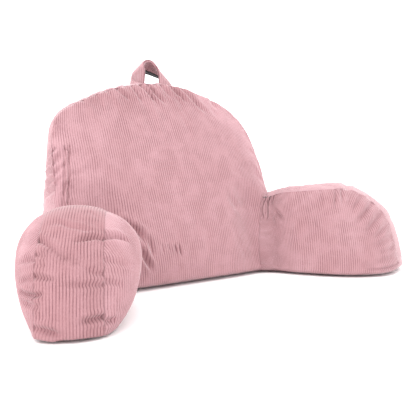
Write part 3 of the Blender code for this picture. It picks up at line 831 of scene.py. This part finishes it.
def buildBack(look, cloth, napAndSheen, folds):
    nU, nV, nW = look["cells"]
    lattice, flat = buildBackLattice(look)
    stuffByCloth("back", lattice, cloth)
    normals, middle = latticeNormals(lattice), np.array(look["middle"])

    def strip(values):        # up the left side, over the top and down the right
        return np.concatenate([values[0], values[1:, nV], values[nU, nV - 1 :: -1]], axis=0)

    patches = []
    for name, side in (("front", 0), ("rear", nW)):
        patches.append(panelPatch(lattice, flat, normals, side, middle, look["rows"][name], walePitch,
                                  sideLook(look, napAndSheen, folds, name, "columns")))
    stripPoints = strip(lattice)
    run = lengthsAlong(stripPoints[:, 0])
    stripCloth = np.stack([np.repeat(run[:, None], nW + 1, axis=1), lengthsOver(stripPoints)], axis=2)
    patches.append(clothPatch(stripPoints, stripCloth, strip(normals), middle, look["stripGrid"],
                              {**sideLook(look, napAndSheen, folds, "strip", "across"), "wander": 0.0}))
    base = lattice[:, 0]
    patches.append(clothPatch(base, base[..., :2], normals[:, 0], middle, look["baseGrid"],
                              {**look["cover"], "wales": "", "seamDepth": 0.0}))
    front, rear, side, floor = numberPoints(patches)

    def overTheTop(ids):      # the same way round along a panel's edge
        return np.concatenate([ids[:, 0], ids[-1, 1:], ids[-2::-1, -1]])

    seams = [(overTheTop(front), side[:, 0]), (overTheTop(rear), side[:, -1]), (front[0], floor[:, 0]),
             (rear[0], floor[:, -1]), (side[0], floor[0]), (side[-1], floor[-1])]
    corners = [(front[0, 0], side[0, 0], floor[0, 0]), (front[0, -1], side[-1, 0], floor[-1, 0]),
               (rear[0, 0], side[0, -1], floor[0, -1]), (rear[0, -1], side[-1, -1], floor[-1, -1])]
    return sewTogether("backCushion", patches, seams, corners, corduroy)


backPiece = buildBack(backLook, backCloth, backNapAndSheen, backFolds)
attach(backPiece, "root")
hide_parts("back")


armLook = {
    "strip": 0.111, "topCrown": 0.010, "tipCrown": 0.022, "tipFacing": (0.5, 1.0),
    "narrowingHeights": (0.12, 0.20),
    "domePower": 6.0, "floorRise": 0.050, "root": -0.080, "rootTaper": 0.120,
    "crownStart": -0.030, "outerFull": 0.085, "rootX": 0.204,
    "leanHeight": 0.180, "leanPower": 1.3, "leanFade": (-0.020, 0.160), "outerLeanShare": 0.5,
    # a side panel's edge over the top and down the tip, along the arm and up
    "seam": [(-0.080, 0.170), (0.020, 0.182), (0.080, 0.189), (0.150, 0.197), (0.195, 0.198),
             (0.230, 0.187), (0.260, 0.167), (0.288, 0.139), (0.306, 0.102), (0.318, 0.062),
             (0.326, 0.026), (0.326, 0.006), (0.321, 0.000)],
    "seamPoints": 500, "rootPoints": 12,
    "tipCorner": (0.300, 0.115),      # where the top edge meets the tip's
    "middle": (0.12, 0.0555, 0.09),
    "fitLength": 0.075,               # how far from the back the arm's cloth is drawn to meet it
    "rayLength": 0.4,
    "cells": (66, 34, 18),            # coarse cells along, up and through
    "panelRows": 64, "stripRows": 170, "baseGrid": (43, 13), "rootGrid": (41, 21),
    "panelWalePitch": 0.0047, "seeds": {"inner": 23, "outer": 41, "strip": 29},
    "cover": {"waleHeight": 0.0010, "wander": 0.0008,
              "seamDepth": 0.0007, "seamWidth": 0.0036, "seamShade": 0.08},
}
armCloth = {**caseCloth, "held": ["base", "left"], "fullness": 0.04, "smoothing": 20, "gain": 0.6,
            "most": 0.003, "settle": (0, 0.005, 0.070), "stripShare": 0.7, "middleShare": 0.8,
            "seamShare": 0.3}
armLeftFolds = {
    "inner": [
        ([(0.272, 0.158), (0.254, 0.156), (0.242, 0.152), (0.228, 0.142)], 0.0080, 0.0045, (0, 1)),
        ([(0.316, 0.091), (0.303, 0.088), (0.288, 0.078)], 0.0040, 0.0045, (0, 1)),
        ([(0.328, 0.028), (0.322, 0.027), (0.304, 0.026)], 0.0060, 0.0050, (0, 1)),
        ([(0.300, 0.125), (0.275, 0.112), (0.255, 0.108)], 0.0030, 0.0055, (0, 1)),
    ],
    "outer": [
        ([(0.258, 0.116), (0.280, 0.124), (0.302, 0.129)], 0.0050, 0.0045, (1, 0)),
        ([(0.278, 0.088), (0.298, 0.096), (0.314, 0.098)], 0.0045, 0.0040, (1, 0)),
        ([(0.264, 0.080), (0.285, 0.074), (0.299, 0.072), (0.318, 0.073)], 0.0060, 0.0035, (1, 0)),
        ([(0.284, 0.062), (0.298, 0.058), (0.322, 0.056)], 0.0035, 0.0045, (1, 0)),
    ],
    "strip": [
        ([(0.392, 0.058), (0.385, 0.033), (0.376, 0.017), (0.374, -0.002)], 0.0060, 0.0045, (1, 0)),
        ([(0.370, 0.113), (0.382, 0.100), (0.393, 0.090), (0.411, 0.077), (0.423, 0.061), (0.431, 0.045),
          (0.442, 0.022)], 0.0060, 0.0048, (0, 0.7)),
        ([(0.328, 0.092), (0.343, 0.076), (0.354, 0.060), (0.358, 0.043), (0.363, 0.028), (0.362, 0.010)],
         0.0032, 0.0050, (1, 1)),
        ([(0.405, 0.113), (0.412, 0.100), (0.418, 0.086)], 0.0038, 0.0045, (0, 1)),
        ([(0.425, 0.113), (0.430, 0.098), (0.437, 0.085)], 0.0030, 0.0045, (0, 1)),
        ([(0.447, 0.113), (0.451, 0.104), (0.456, 0.087), (0.460, 0.070)], 0.0045, 0.0040, (0, 1)),
        ([(0.468, 0.074), (0.469, 0.037), (0.468, 0.008), (0.467, -0.002)], 0.0042, 0.0045, (1, 0)),
        ([(0.447, 0.030), (0.449, 0.012), (0.448, -0.002)], 0.0030, 0.0045, (1, 0)),
        ([(0.482, 0.113), (0.481, 0.104), (0.480, 0.092)], 0.0055, 0.0038, (0, 1)),
        ([(0.499, 0.113), (0.501, 0.098)], 0.0035, 0.0045, (0, 1)),
        ([(0.528, 0.042), (0.525, 0.020), (0.522, 0.007), (0.521, -0.002)], 0.0075, 0.0050, (1, 0)),
        ([(0.535, 0.111), (0.540, 0.091), (0.544, 0.077), (0.551, 0.060)], 0.0085, 0.0060, (0.6, 1)),
    ],
}
armRightFolds = {
    "inner": [
        # fan of creases round the tip
        ([(0.188, 0.156), (0.207, 0.173), (0.220, 0.186)], 0.0020, 0.0050, (1, 0.7)),
        ([(0.200, 0.146), (0.228, 0.175), (0.238, 0.184)], 0.0034, 0.0050, (1, 0.7)),
        ([(0.208, 0.118), (0.245, 0.152), (0.263, 0.166)], 0.0066, 0.0058, (1, 0.7)),
        ([(0.230, 0.096), (0.262, 0.127), (0.282, 0.142)], 0.0056, 0.0060, (1, 0.7)),
        ([(0.252, 0.086), (0.279, 0.106), (0.296, 0.115)], 0.0034, 0.0050, (1, 0.7)),
        ([(0.240, 0.066), (0.280, 0.078), (0.304, 0.084)], 0.0034, 0.0055, (1, 0.7)),
        ([(0.262, 0.052), (0.285, 0.058), (0.312, 0.061)], 0.0022, 0.0045, (1, 0.7)),
        ([(0.236, 0.025), (0.277, 0.036), (0.316, 0.041)], 0.0026, 0.0060, (1, 0.7)),
        # below the top seam
        ([(0.100, 0.150), (0.104, 0.190)], 0.0024, 0.0040, (1, 0.4)),
        ([(0.136, 0.150), (0.137, 0.177), (0.139, 0.196)], 0.0028, 0.0038, (1, 0.4)),
        ([(0.166, 0.150), (0.170, 0.179), (0.174, 0.198)], 0.0045, 0.0040, (1, 0.4)),
        ([(0.184, 0.160), (0.185, 0.186), (0.187, 0.198)], 0.0036, 0.0036, (1, 0.4)),
        # gathered where it is sewn to the back
        ([(-0.066, 0.120), (-0.066, 0.150), (-0.058, 0.174)], 0.0060, 0.0055, (1, 0)),
        ([(-0.044, 0.118), (-0.046, 0.152), (-0.036, 0.178)], 0.0060, 0.0055, (1, 0)),
        ([(-0.014, 0.144), (-0.020, 0.162), (-0.016, 0.180)], 0.0030, 0.0050, (1, 0)),
        ([(-0.002, 0.148), (0.030, 0.131), (0.052, 0.119)], 0.0045, 0.0065, (1, 1)),
        ([(0.116, 0.132), (0.119, 0.120), (0.122, 0.108)], 0.0022, 0.0032, (1, 1)),
        # the hem fold along the floor
        ([(0.225, 0.014), (0.265, 0.015), (0.293, 0.018), (0.325, 0.021)], 0.0036, 0.0036, (1, 0)),
    ],
    "outer": [
        ([(0.300, 0.115), (0.225, 0.100)], 0.0040, 0.0100, (0, 1)),
        ([(0.262, 0.166), (0.200, 0.120)], 0.0040, 0.0100, (0, 1)),
    ],
    "strip": [
        # the pinch beside the back
        ([(0.002, -0.002), (0.010, 0.022)], 0.0100, 0.0055, (0, 1)),
        ([(0.022, -0.002), (0.026, 0.016)], 0.0060, 0.0050, (0, 1)),
        ([(0.300, -0.002), (0.310, 0.060), (0.322, 0.113)], 0.0030, 0.0080, (0, 0)),
        ([(0.365, -0.002), (0.372, 0.050)], 0.0030, 0.0060, (0, 1)),
    ],
}
arms = {
    "armLeft": {
        "node": "arm_left", "side": -1, "splay": math.radians(32.5), "height": 0.96, "slant": 0.035,
        "topTaper": 0.006, "rootTaper": 0.028, "rootLean": 0.020,
        "inner": 0.070, "innerFull": 0.085, "innerLean": 0.0, "innerFloor": 0.28,
        "outer": 0.053, "outerFloor": 0.05,
        "foot": {"radius": 0.006, "lift": 0.0015, "blend": 0.030, "reach": 0.030},
        # painted light: the brushed paths on the sides are painted highlights; the outer side is painted a
        # little darker, and the strip darker, more so across one band, as painted shade
        "napAndSheen": {"inner": {"brushedAndSheen": [([(0.190, 0.188), (0.232, 0.172), (0.250, 0.150)], 0.012, 0.8)]},
                "outer": {"napAndSheen": -0.10,
                          "brushedAndSheen": [([(0.180, 0.184), (0.226, 0.165), (0.262, 0.128)], 0.012, 0.4)]},
                "strip": {"napAndSheen": -0.35, "brushedAndSheen": [([(0.310, 0.000), (0.310, 0.111)], 0.050, -0.3)]}},
        "folds": armLeftFolds, "material": standingCorduroy,
    },
    "armRight": {
        "node": "arm_right", "side": 1, "splay": math.radians(54.9), "height": 1.0, "slant": 0.0,
        "topTaper": 0.016, "rootTaper": 0.008, "rootLean": 0.078,
        "inner": 0.070, "innerFull": 0.210, "innerLean": 0.45, "innerFloor": 1.0,
        "outer": 0.050, "outerFloor": 0.40,
        "foot": {"radius": 0.006, "lift": 0.006, "blend": 0.030, "reach": 0.040},
        # the strip is painted lighter, a painted sheen highlight
        "napAndSheen": {"inner": {}, "outer": {}, "strip": {"napAndSheen": 0.7}},
        "folds": armRightFolds, "material": sheenPaintedCorduroy,
    },
}


def buildArmLattice(look, arm):
    # in the arm's own frame: along it, outwards, up
    nU, nV, nW = look["cells"]
    edge = curveThrough(look["seam"], look["seamPoints"]) * (1, arm["height"])
    root = np.array([look["root"], 0.0])
    corner = np.array(look["tipCorner"]) * (1, arm["height"])
    mark = int(np.argmin(np.linalg.norm(edge - corner, axis=1)))
    top = evenlyAcross(edge[: mark + 1], nU + 1)
    tip = evenly(edge[mark:], nV + 1)[::-1]
    top[-1] = tip[-1]
    rootSide = np.column_stack([np.full(nV + 1, root[0]), np.linspace(0, edge[0, 1], nV + 1)])
    top[0] = rootSide[-1]
    bottom = np.column_stack([np.linspace(root[0], tip[0, 0], nU + 1), np.zeros(nU + 1)])
    bottom[-1] = tip[0]
    flat = fillPatch(bottom, top, rootSide, tip)
    seam = np.vstack([np.linspace(root, edge[0], look["rootPoints"])[:-1], edge])
    along, height = flat[..., 0], flat[..., 1]
    lean = arm["rootLean"] * (height / look["leanHeight"]) ** look["leanPower"]
    lean = lean * (1 - smoothStep(*look["leanFade"], along))

    def innerSide():
        share = stuffing(flat, seam, look["domePower"], arm["innerFloor"], look["floorRise"])
        swell = arm["inner"] * share * smoothStep(look["crownStart"], arm["innerFull"], along)
        swell = swell * (1 - arm["innerLean"] * height / edge[:, 1].max())
        return np.stack([along * (1 - arm["slant"] / 2), lean - swell, height], axis=-1)

    def outerSide():
        share = stuffing(flat, seam, look["domePower"], arm["outerFloor"], look["floorRise"])
        swell = arm["outer"] * share * smoothStep(look["crownStart"], look["outerFull"], along)
        taper = arm["rootTaper"] * (1 - smoothStep(0, look["rootTaper"], along))
        taper = taper + arm["topTaper"] * smoothStep(*look["narrowingHeights"], height)
        across = look["strip"] - taper + swell + lean * look["outerLeanShare"]
        return np.stack([along * (1 + arm["slant"] / 2), across, height], axis=-1)

    lattice = np.zeros((nU + 1, nV + 1, nW + 1, 3))
    lattice[:, :, 0], lattice[:, :, nW] = innerSide(), outerSide()
    # the strip over the top and down the tip is crowned, the root and the base are flat
    for rows, columns, way in ((slice(None), nV, 1), (nU, slice(None), -1), (0, slice(None), 0),
                               (slice(None), 0, 0)):
        normals = way * edgeNormals(flat[rows, columns])
        normals[:, 2] = np.maximum(normals[:, 2], 0)
        atTip = smoothStep(*look["tipFacing"], normals[:, 0])
        crown = look["topCrown"] * (1 - atTip) + look["tipCrown"] * atTip
        spanPanels(lattice, rows, columns, normals, crown)
    lattice[..., 2] = np.maximum(lattice[..., 2], 0)
    roundFoot(lattice, arm["foot"])
    return lattice, flat


def placeArm(points, look, arm):
    # from the arm's own frame to its place beside the back, and which way the arm runs there
    side, splay = arm["side"], arm["splay"]
    along = np.array([side * math.sin(splay), -math.cos(splay), 0])
    outwards = np.array([side * math.cos(splay), math.sin(splay), 0])
    rootPoint = np.array([side * look["rootX"], -backLook["baseDepth"] / 2, 0])
    return (rootPoint + points[..., 0:1] * along + points[..., 1:2] * outwards
            + points[..., 2:3] * np.array([0, 0, 1.0])), along


def fitToBack(points, along, reach, look, backTree):
    # draws the cloth near the root along the arm until it ends on the back cushion's surface
    placed, reach = points.reshape(-1, 3), reach.ravel()
    moved = placed.copy()
    for index in np.flatnonzero(reach < look["fitLength"]):
        start = placed[index] + along * (look["fitLength"] - reach[index])
        hit = backTree.ray_cast(Vector(start), -Vector(along), look["rayLength"])
        if hit[0] is None:
            continue
        surface = look["fitLength"] - hit[3] + clothGap
        share = (reach[index] - look["root"]) / (look["fitLength"] - look["root"])
        wanted = surface + share * (look["fitLength"] - surface)
        moved[index] = placed[index] + along * (wanted - reach[index])
    return moved.reshape(points.shape)


def buildArm(name, look, arm, cloth, backTree):
    nU, nV, nW = look["cells"]
    lattice, flat = buildArmLattice(look, arm)
    stuffByCloth(name, lattice, cloth)
    normals, middle = latticeNormals(lattice), np.array(look["middle"])

    def strip(values):        # from the root over the top and down the tip
        return np.concatenate([values[:, nV], values[nU, nV - 1 :: -1]], axis=0)

    patches = []
    for key, side in (("inner", 0), ("outer", nW)):
        patches.append(panelPatch(lattice, flat, normals, side, middle, look["panelRows"],
                                  look["panelWalePitch"],
                                  sideLook(look, arm["napAndSheen"], arm["folds"], key, "columns")))
    stripPoints = strip(lattice)
    run, across = lengthsAlong(stripPoints[:, nW // 2]), np.linspace(0, look["strip"], nW + 1)
    stripCloth = np.stack(np.meshgrid(run, across, indexing="ij"), axis=2)
    stripWales = round(look["strip"] / walePitch)
    patches.append(clothPatch(
        stripPoints, stripCloth, strip(normals), middle, (look["stripRows"], stripWales * columnsPerWale + 1),
        sideLook(look, arm["napAndSheen"], arm["folds"], "strip", "columns")))
    plain = {**look["cover"], "wales": "", "seamDepth": 0.0}
    base, root = lattice[:, 0], lattice[0]
    patches.append(clothPatch(base, base[..., :2], normals[:, 0], middle, look["baseGrid"], plain))
    patches.append(clothPatch(root, root[..., 1:], normals[0], middle, look["rootGrid"],
                              {**plain, "floor": -1.0}))
    for patch in patches:
        placed, along = placeArm(patch["points"], look, arm)
        patch["points"] = fitToBack(placed, along, patch["points"][..., 0], look, backTree)
    inner, outer, side, floor, rootIds = numberPoints(patches)

    def roundTheTip(ids):     # along a panel's top edge and down its tip
        return np.concatenate([ids[-1], ids[-2::-1, -1]])

    seams = [(roundTheTip(inner), side[:, 0]), (roundTheTip(outer), side[:, -1]), (inner[0], floor[:, 0]),
             (outer[0], floor[:, -1]), (inner[:, 0], rootIds[:, 0]), (outer[:, 0], rootIds[:, -1]),
             (side[0], rootIds[-1]), (side[-1], floor[-1]), (floor[0], rootIds[0])]
    corners = [(inner[-1, 0], side[0, 0], rootIds[-1, 0]), (outer[-1, 0], side[0, -1], rootIds[-1, -1]),
               (inner[0, -1], side[-1, 0], floor[-1, 0]), (outer[0, -1], side[-1, -1], floor[-1, -1]),
               (inner[0, 0], rootIds[0, 0], floor[0, 0]), (outer[0, 0], rootIds[0, -1], floor[0, -1])]
    piece = sewTogether(name, patches, seams, corners, arm["material"])
    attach(piece, "root")
    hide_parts(arm["node"])


backTree = BVHTree.FromPolygons([tuple(vertex.co) for vertex in backPiece.data.vertices],
                                [tuple(face.vertices) for face in backPiece.data.polygons])
for armName, arm in arms.items():
    buildArm(armName, armLook, arm, armCloth, backTree)


loopLook = {
    "x": 0.006, "setback": 0.034,     # its middle, across and behind the back's front panel
    "width": 0.049, "footWidths": (0.062, 0.052), "thickness": 0.008, "wales": 9,
    # shares of the way along: the left foot narrows, with a shoulder on it, and the right foot widens
    "leftFoot": (0.26, 0.48), "rightFoot": (0.70, 0.90),
    "shoulderShare": 0.3, "shoulderAt": 0.29, "shoulderOver": 0.09,
    "stations": 96, "ribHeight": 0.0006,
    "edgePower": 8,                   # the section is flat, with its two edges rounded
    # the strap droops back over its top, then turns to face forward down its right leg, front edge first
    "droop": math.radians(-21), "droopAt": 0.59, "droopOver": 0.12,
    "twist": math.radians(74), "twistOver": (0.54, 0.86), "frontLead": 3.0,
    "turnSteps": 91, "turnReach": 0.75,               # its turns are added up this far across, in foot widths
    # a pinched fold down the left leg, as (share of the way along, place across), with painted shade on the
    # cloth in front of its line
    "pinch": {"line": [(0.17, -0.72), (0.25, 0.12), (0.34, 0.80)], "shade": 0.35, "depth": 0.0016,
              "width": 0.10, "shadeBlend": 0.05, "fadeIn": 0.04, "fadeOut": 0.06},
    # painted shade on the strap's underside inside the loop, from the front edge to the hem, as places across
    "undersideShade": 0.40, "undersideFrom": (-0.96, -0.84), "undersideTo": (0.02, 0.12),
    # the way of the front edge: across, up
    "arch": [(-0.0262, -0.0280), (-0.0177, 0.0040), (-0.0098, 0.0320), (-0.0045, 0.0515),
             (0.0070, 0.0622), (0.0215, 0.0618), (0.0305, 0.0490), (0.0329, 0.0340),
             (0.0321, 0.0180), (0.0283, 0.0000), (0.0239, -0.0200)],
    "mapLength": 0.25,                # of the whole strap, for its map
}


def loopFrame(look):
    # the loop's origin level with the back's top seam, and the ways across, up and back there
    lean = backLook["frontLean"]
    right = np.array([1.0, 0, 0])
    up = np.array([0, math.sin(lean), math.cos(lean)])
    rear = np.array([0, math.cos(lean), -math.sin(lean)])
    seamTop = max(point[1] for point in backLook["seam"]) / math.cos(lean)
    origin = right * look["x"] + up * seamTop + rear * look["setback"]
    origin[1] -= backLook["baseDepth"] / 2
    return origin, right, up, rear


def tubeFaces(count, around):
    # between count rings of points, and closed by a middle point at each end, numbered last
    faces = []
    last = (count - 1) * around
    for first in range(0, last, around):
        for k in range(around):
            n = (k + 1) % around
            faces.append([first + k, first + n, first + around + n, first + around + k])
    for k in range(around):
        n = (k + 1) % around
        faces.append([last + around, n, k])
        faces.append([last + around + 1, last + k, last + n])
    return faces


def strapWidths(look, strap, travel):
    # narrow over the top, wider at both feet, with a shoulder on the left one
    width = strap["width"]
    leftMore, rightMore = (foot - width for foot in strap["footWidths"])
    return (width + leftMore * (1 - smoothStep(*look["leftFoot"], travel))
            + leftMore * look["shoulderShare"] * bell(travel - look["shoulderAt"], look["shoulderOver"])
            + rightMore * smoothStep(*look["rightFoot"], travel))


def turnedSection(look, travel, place):
    # the strap's turn at each place across its width, and how far back and out the turns take it there
    reach = np.linspace(-1, 1, look["turnSteps"]) * look["footWidths"][0] * look["turnReach"]
    turns = (look["droop"] * bell(travel - look["droopAt"], look["droopOver"])
             + look["twist"] * smoothStep(*look["twistOver"], travel - look["frontLead"] * reach))
    deepAt, outAt = (np.cumsum(way(turns)) * (reach[1] - reach[0]) for way in (np.cos, np.sin))
    frontEdge = -look["width"] / 2
    deep = frontEdge + np.interp(place, reach, deepAt) - np.interp(frontEdge, reach, deepAt)
    out = np.interp(place, reach, outAt) - np.interp(frontEdge, reach, outAt)
    return np.interp(place, reach, turns), deep, out


def sweepStrap(name, look, strap, material):
    # one strap round the loop. strap["middle"] is how far it runs from the middle of the loop's width
    arch = curveThrough(look["arch"], look["stations"] + 1)
    origin, right, up, rear = loopFrame(look)
    along = np.gradient(arch, axis=0)
    outwards = unit(np.column_stack([-along[:, 1], along[:, 0]]))
    travel = np.linspace(0, 1, look["stations"] + 1)
    widths = strapWidths(look, strap, travel)
    across = np.linspace(-1, 1, strap["wales"] * columnsPerWale + 1)
    edge = np.sqrt(np.maximum(1 - np.abs(across) ** look["edgePower"], 0))
    lane = np.arange(len(across)) / columnsPerWale
    rib = look["ribHeight"] * ribHeight(lane) * edge * strap["ribbed"]
    half = strap["thickness"] / 2 * edge
    under = slice(-2, 0, -1)          # the underside's points run back and share the edge ones
    pinch = look["pinch"]
    pinchTravel, pinchAcross = np.array(pinch["line"]).T
    pinched = (strap["ribbed"] * smoothStep(pinchTravel[0] - pinch["fadeIn"], pinchTravel[0], travel)
               * (1 - smoothStep(pinchTravel[-1], pinchTravel[-1] + pinch["fadeOut"], travel)))
    # painted shade on the underside, where the inside of the loop lies in shade
    undersideShading = (look["undersideShade"] * strap["ribbed"] * smoothStep(*look["undersideFrom"], across)
              * (1 - smoothStep(*look["undersideTo"], across)))
    rings, uvs, shades = [], [], []
    for i in range(round(strap["start"] * look["stations"]), round(strap["end"] * look["stations"]) + 1):
        level = right * outwards[i, 0] + up * outwards[i, 1]
        turn, deep, out = turnedSection(look, travel[i], strap["middle"] + across * widths[i] / 2)
        centre = origin + right * arch[i, 0] + up * arch[i, 1] + np.outer(deep, rear) + np.outer(out, level)
        facing = np.outer(np.cos(turn), level) - np.outer(np.sin(turn), rear)
        fromPinch = across - np.interp(travel[i], pinchTravel, pinchAcross)
        dent = pinch["depth"] * bell(fromPinch, pinch["width"]) * pinched[i]
        faceUp = centre + facing * (strap["outset"] + half + rib - dent)[:, None]
        faceDown = centre + facing * (strap["outset"] - half - rib)[:, None]
        # painted shade on the front side of the pinch line
        blended = smoothStep(-pinch["shadeBlend"], pinch["shadeBlend"], fromPinch)
        upShade = pinch["shade"] * pinched[i] * (1 - blended)
        rings.append(np.vstack([faceUp, faceDown[under]]))
        shades.append(np.r_[upShade, undersideShading[under]])
        lanes = np.r_[lane, lane[under]]
        length = travel[i] * look["mapLength"] / walePitch
        uvs.append(np.column_stack([lanes, np.full(len(lanes), length)]))
    points, uvs = (np.vstack(rows + [rows[0].mean(axis=0), rows[-1].mean(axis=0)]) for rows in (rings, uvs))
    marks = {"seamShade": np.r_[np.concatenate(shades), 0, 0]}
    return makePiece(name, points, tubeFaces(len(rings), len(rings[0])), uvs, marks, material)


loopStrap = {"width": loopLook["width"], "footWidths": loopLook["footWidths"],
             "thickness": loopLook["thickness"], "wales": loopLook["wales"], "ribbed": True,
             "outset": 0.0, "middle": 0.0, "start": 0.0, "end": 1.0}
loopPiece = sweepStrap("carryLoop", loopLook, loopStrap, loopCorduroy)
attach(loopPiece, "root")
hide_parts("handle")


tapeLook = {
    "width": 0.0150, "thickness": 0.0015,
    "inset": 0.001, "gap": 0.0005,    # from the loop's rear edge, and below its underside
    "start": 0.32, "end": 0.80,       # as shares of the way along the loop
    "columns": 3,                     # its map is counted in wales too
    "thread": (0.014, 0.015, 0.018), "shadow": (0.006, 0.0065, 0.008), "threads": 6.0,
    "line": (0.10, 0.105, 0.12), "lineAt": 1.4, "lineHalf": 0.22, "lineSoft": 1.6,
    "bumpDistance": 0.0002, "roughness": 0.75,
}


def buildTapeMaterial(look):
    # a plain weave, with a paler line woven near the middle
    material = bpy.data.materials.new("wovenTape")
    material.use_nodes = True
    tree = material.node_tree
    surface = tree.nodes["Principled BSDF"].inputs
    uv = clothMap(tree)
    fromLine = calculate(tree, "ABSOLUTE", calculate(tree, "SUBTRACT", firstOf(tree, uv), look["lineAt"]))
    lineEnds = (look["lineHalf"], look["lineHalf"] * look["lineSoft"])
    onLine = rangeOf(tree, fromLine, lineEnds, (1.0, 0.0), "SMOOTHSTEP")
    weave = tree.nodes.new("ShaderNodeTexChecker")
    weave.inputs["Scale"].default_value = look["threads"]
    weave.inputs["Color1"].default_value = (*look["thread"], 1)
    weave.inputs["Color2"].default_value = (*look["shadow"], 1)
    fill(tree, weave.inputs["Vector"], uv)
    fill(tree, surface["Base Color"], blend(tree, onLine, weave.outputs["Color"], (*look["line"], 1)))
    bump = tree.nodes.new("ShaderNodeBump")
    bump.inputs["Distance"].default_value = look["bumpDistance"]
    fill(tree, bump.inputs["Height"], weave.outputs["Fac"])
    fill(tree, surface["Normal"], bump.outputs["Normal"])
    surface["Roughness"].default_value = look["roughness"]
    return material


tapeStrap = {"width": tapeLook["width"], "footWidths": (tapeLook["width"],) * 2,
             "thickness": tapeLook["thickness"], "wales": tapeLook["columns"], "ribbed": False,
             "outset": -(loopLook["thickness"] + tapeLook["thickness"]) / 2 - tapeLook["gap"],
             "middle": loopLook["width"] / 2 - tapeLook["inset"] - tapeLook["width"] / 2,
             "start": tapeLook["start"], "end": tapeLook["end"]}
tapePiece = sweepStrap("loopTape", loopLook, tapeStrap, buildTapeMaterial(tapeLook))
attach(tapePiece, "root")
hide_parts("handle_tape")


studio = {
    "floorSize": 60.0, "floorLevel": -0.0005, "floorColour": (0.94, 0.94, 0.94), "floorRoughness": 0.9,
    "world": 2.0, "horizon": (0.98, 0.98, 0.98),
    "lights": [                       # name, from, strength, angle across
        ("overheadLight", (0.1, 0.6, 2.0), 0.4, 50),
        ("leftLight", (-2.0, 0.2, 1.1), 0.9, 30),
    ],
    "cameraPlace": (-0.9875, -1.4174, 0.332), "yaw": 38.0, "pitchDown": 5.4,
    "focalPixels": 767.5, "pictureWidth": 416, "sensor": 36.0,
}


def buildStage(look):
    bpy.ops.object.select_all(action="DESELECT")
    bpy.ops.mesh.primitive_plane_add(size=look["floorSize"], location=(0, 0, look["floorLevel"]))
    floor = bpy.context.object
    floor.name = "studioFloor"
    floor.data.transform(floor.matrix_world)
    floor.matrix_world.identity()
    paint = bpy.data.materials.new("studioPaper")
    paint.use_nodes = True
    surface = paint.node_tree.nodes["Principled BSDF"]
    surface.inputs["Base Color"].default_value = (*look["floorColour"], 1)
    surface.inputs["Roughness"].default_value = look["floorRoughness"]
    floor.data.materials.append(paint)

    world = bpy.data.worlds.new("studioAir")
    world.use_nodes = True
    air = world.node_tree.nodes["Background"]
    air.inputs["Color"].default_value = (*look["horizon"], 1)
    air.inputs["Strength"].default_value = look["world"]
    bpy.context.scene.world = world
    for name, place, strength, spread in look["lights"]:
        lamp = bpy.data.lights.new(name, "SUN")
        lamp.energy, lamp.angle = strength, math.radians(spread)
        light = bpy.data.objects.new(name, lamp)
        light.location = place
        light.rotation_euler = Vector(place).to_track_quat("Z", "Y").to_euler()
        bpy.context.scene.collection.objects.link(light)

    lens = bpy.data.cameras.new("photoCamera")
    lens.sensor_width = look["sensor"]
    lens.lens = look["focalPixels"] * look["sensor"] / look["pictureWidth"]
    camera = bpy.data.objects.new("photoCamera", lens)
    camera.location = look["cameraPlace"]
    camera.rotation_euler = (math.radians(90 - look["pitchDown"]), 0, -math.radians(look["yaw"]))
    bpy.context.scene.collection.objects.link(camera)
    bpy.context.scene.camera = camera
    bpy.context.scene.view_settings.view_transform = "Standard"


buildStage(studio)
print("stage: studio ready")

bpy.context.view_layer.update()
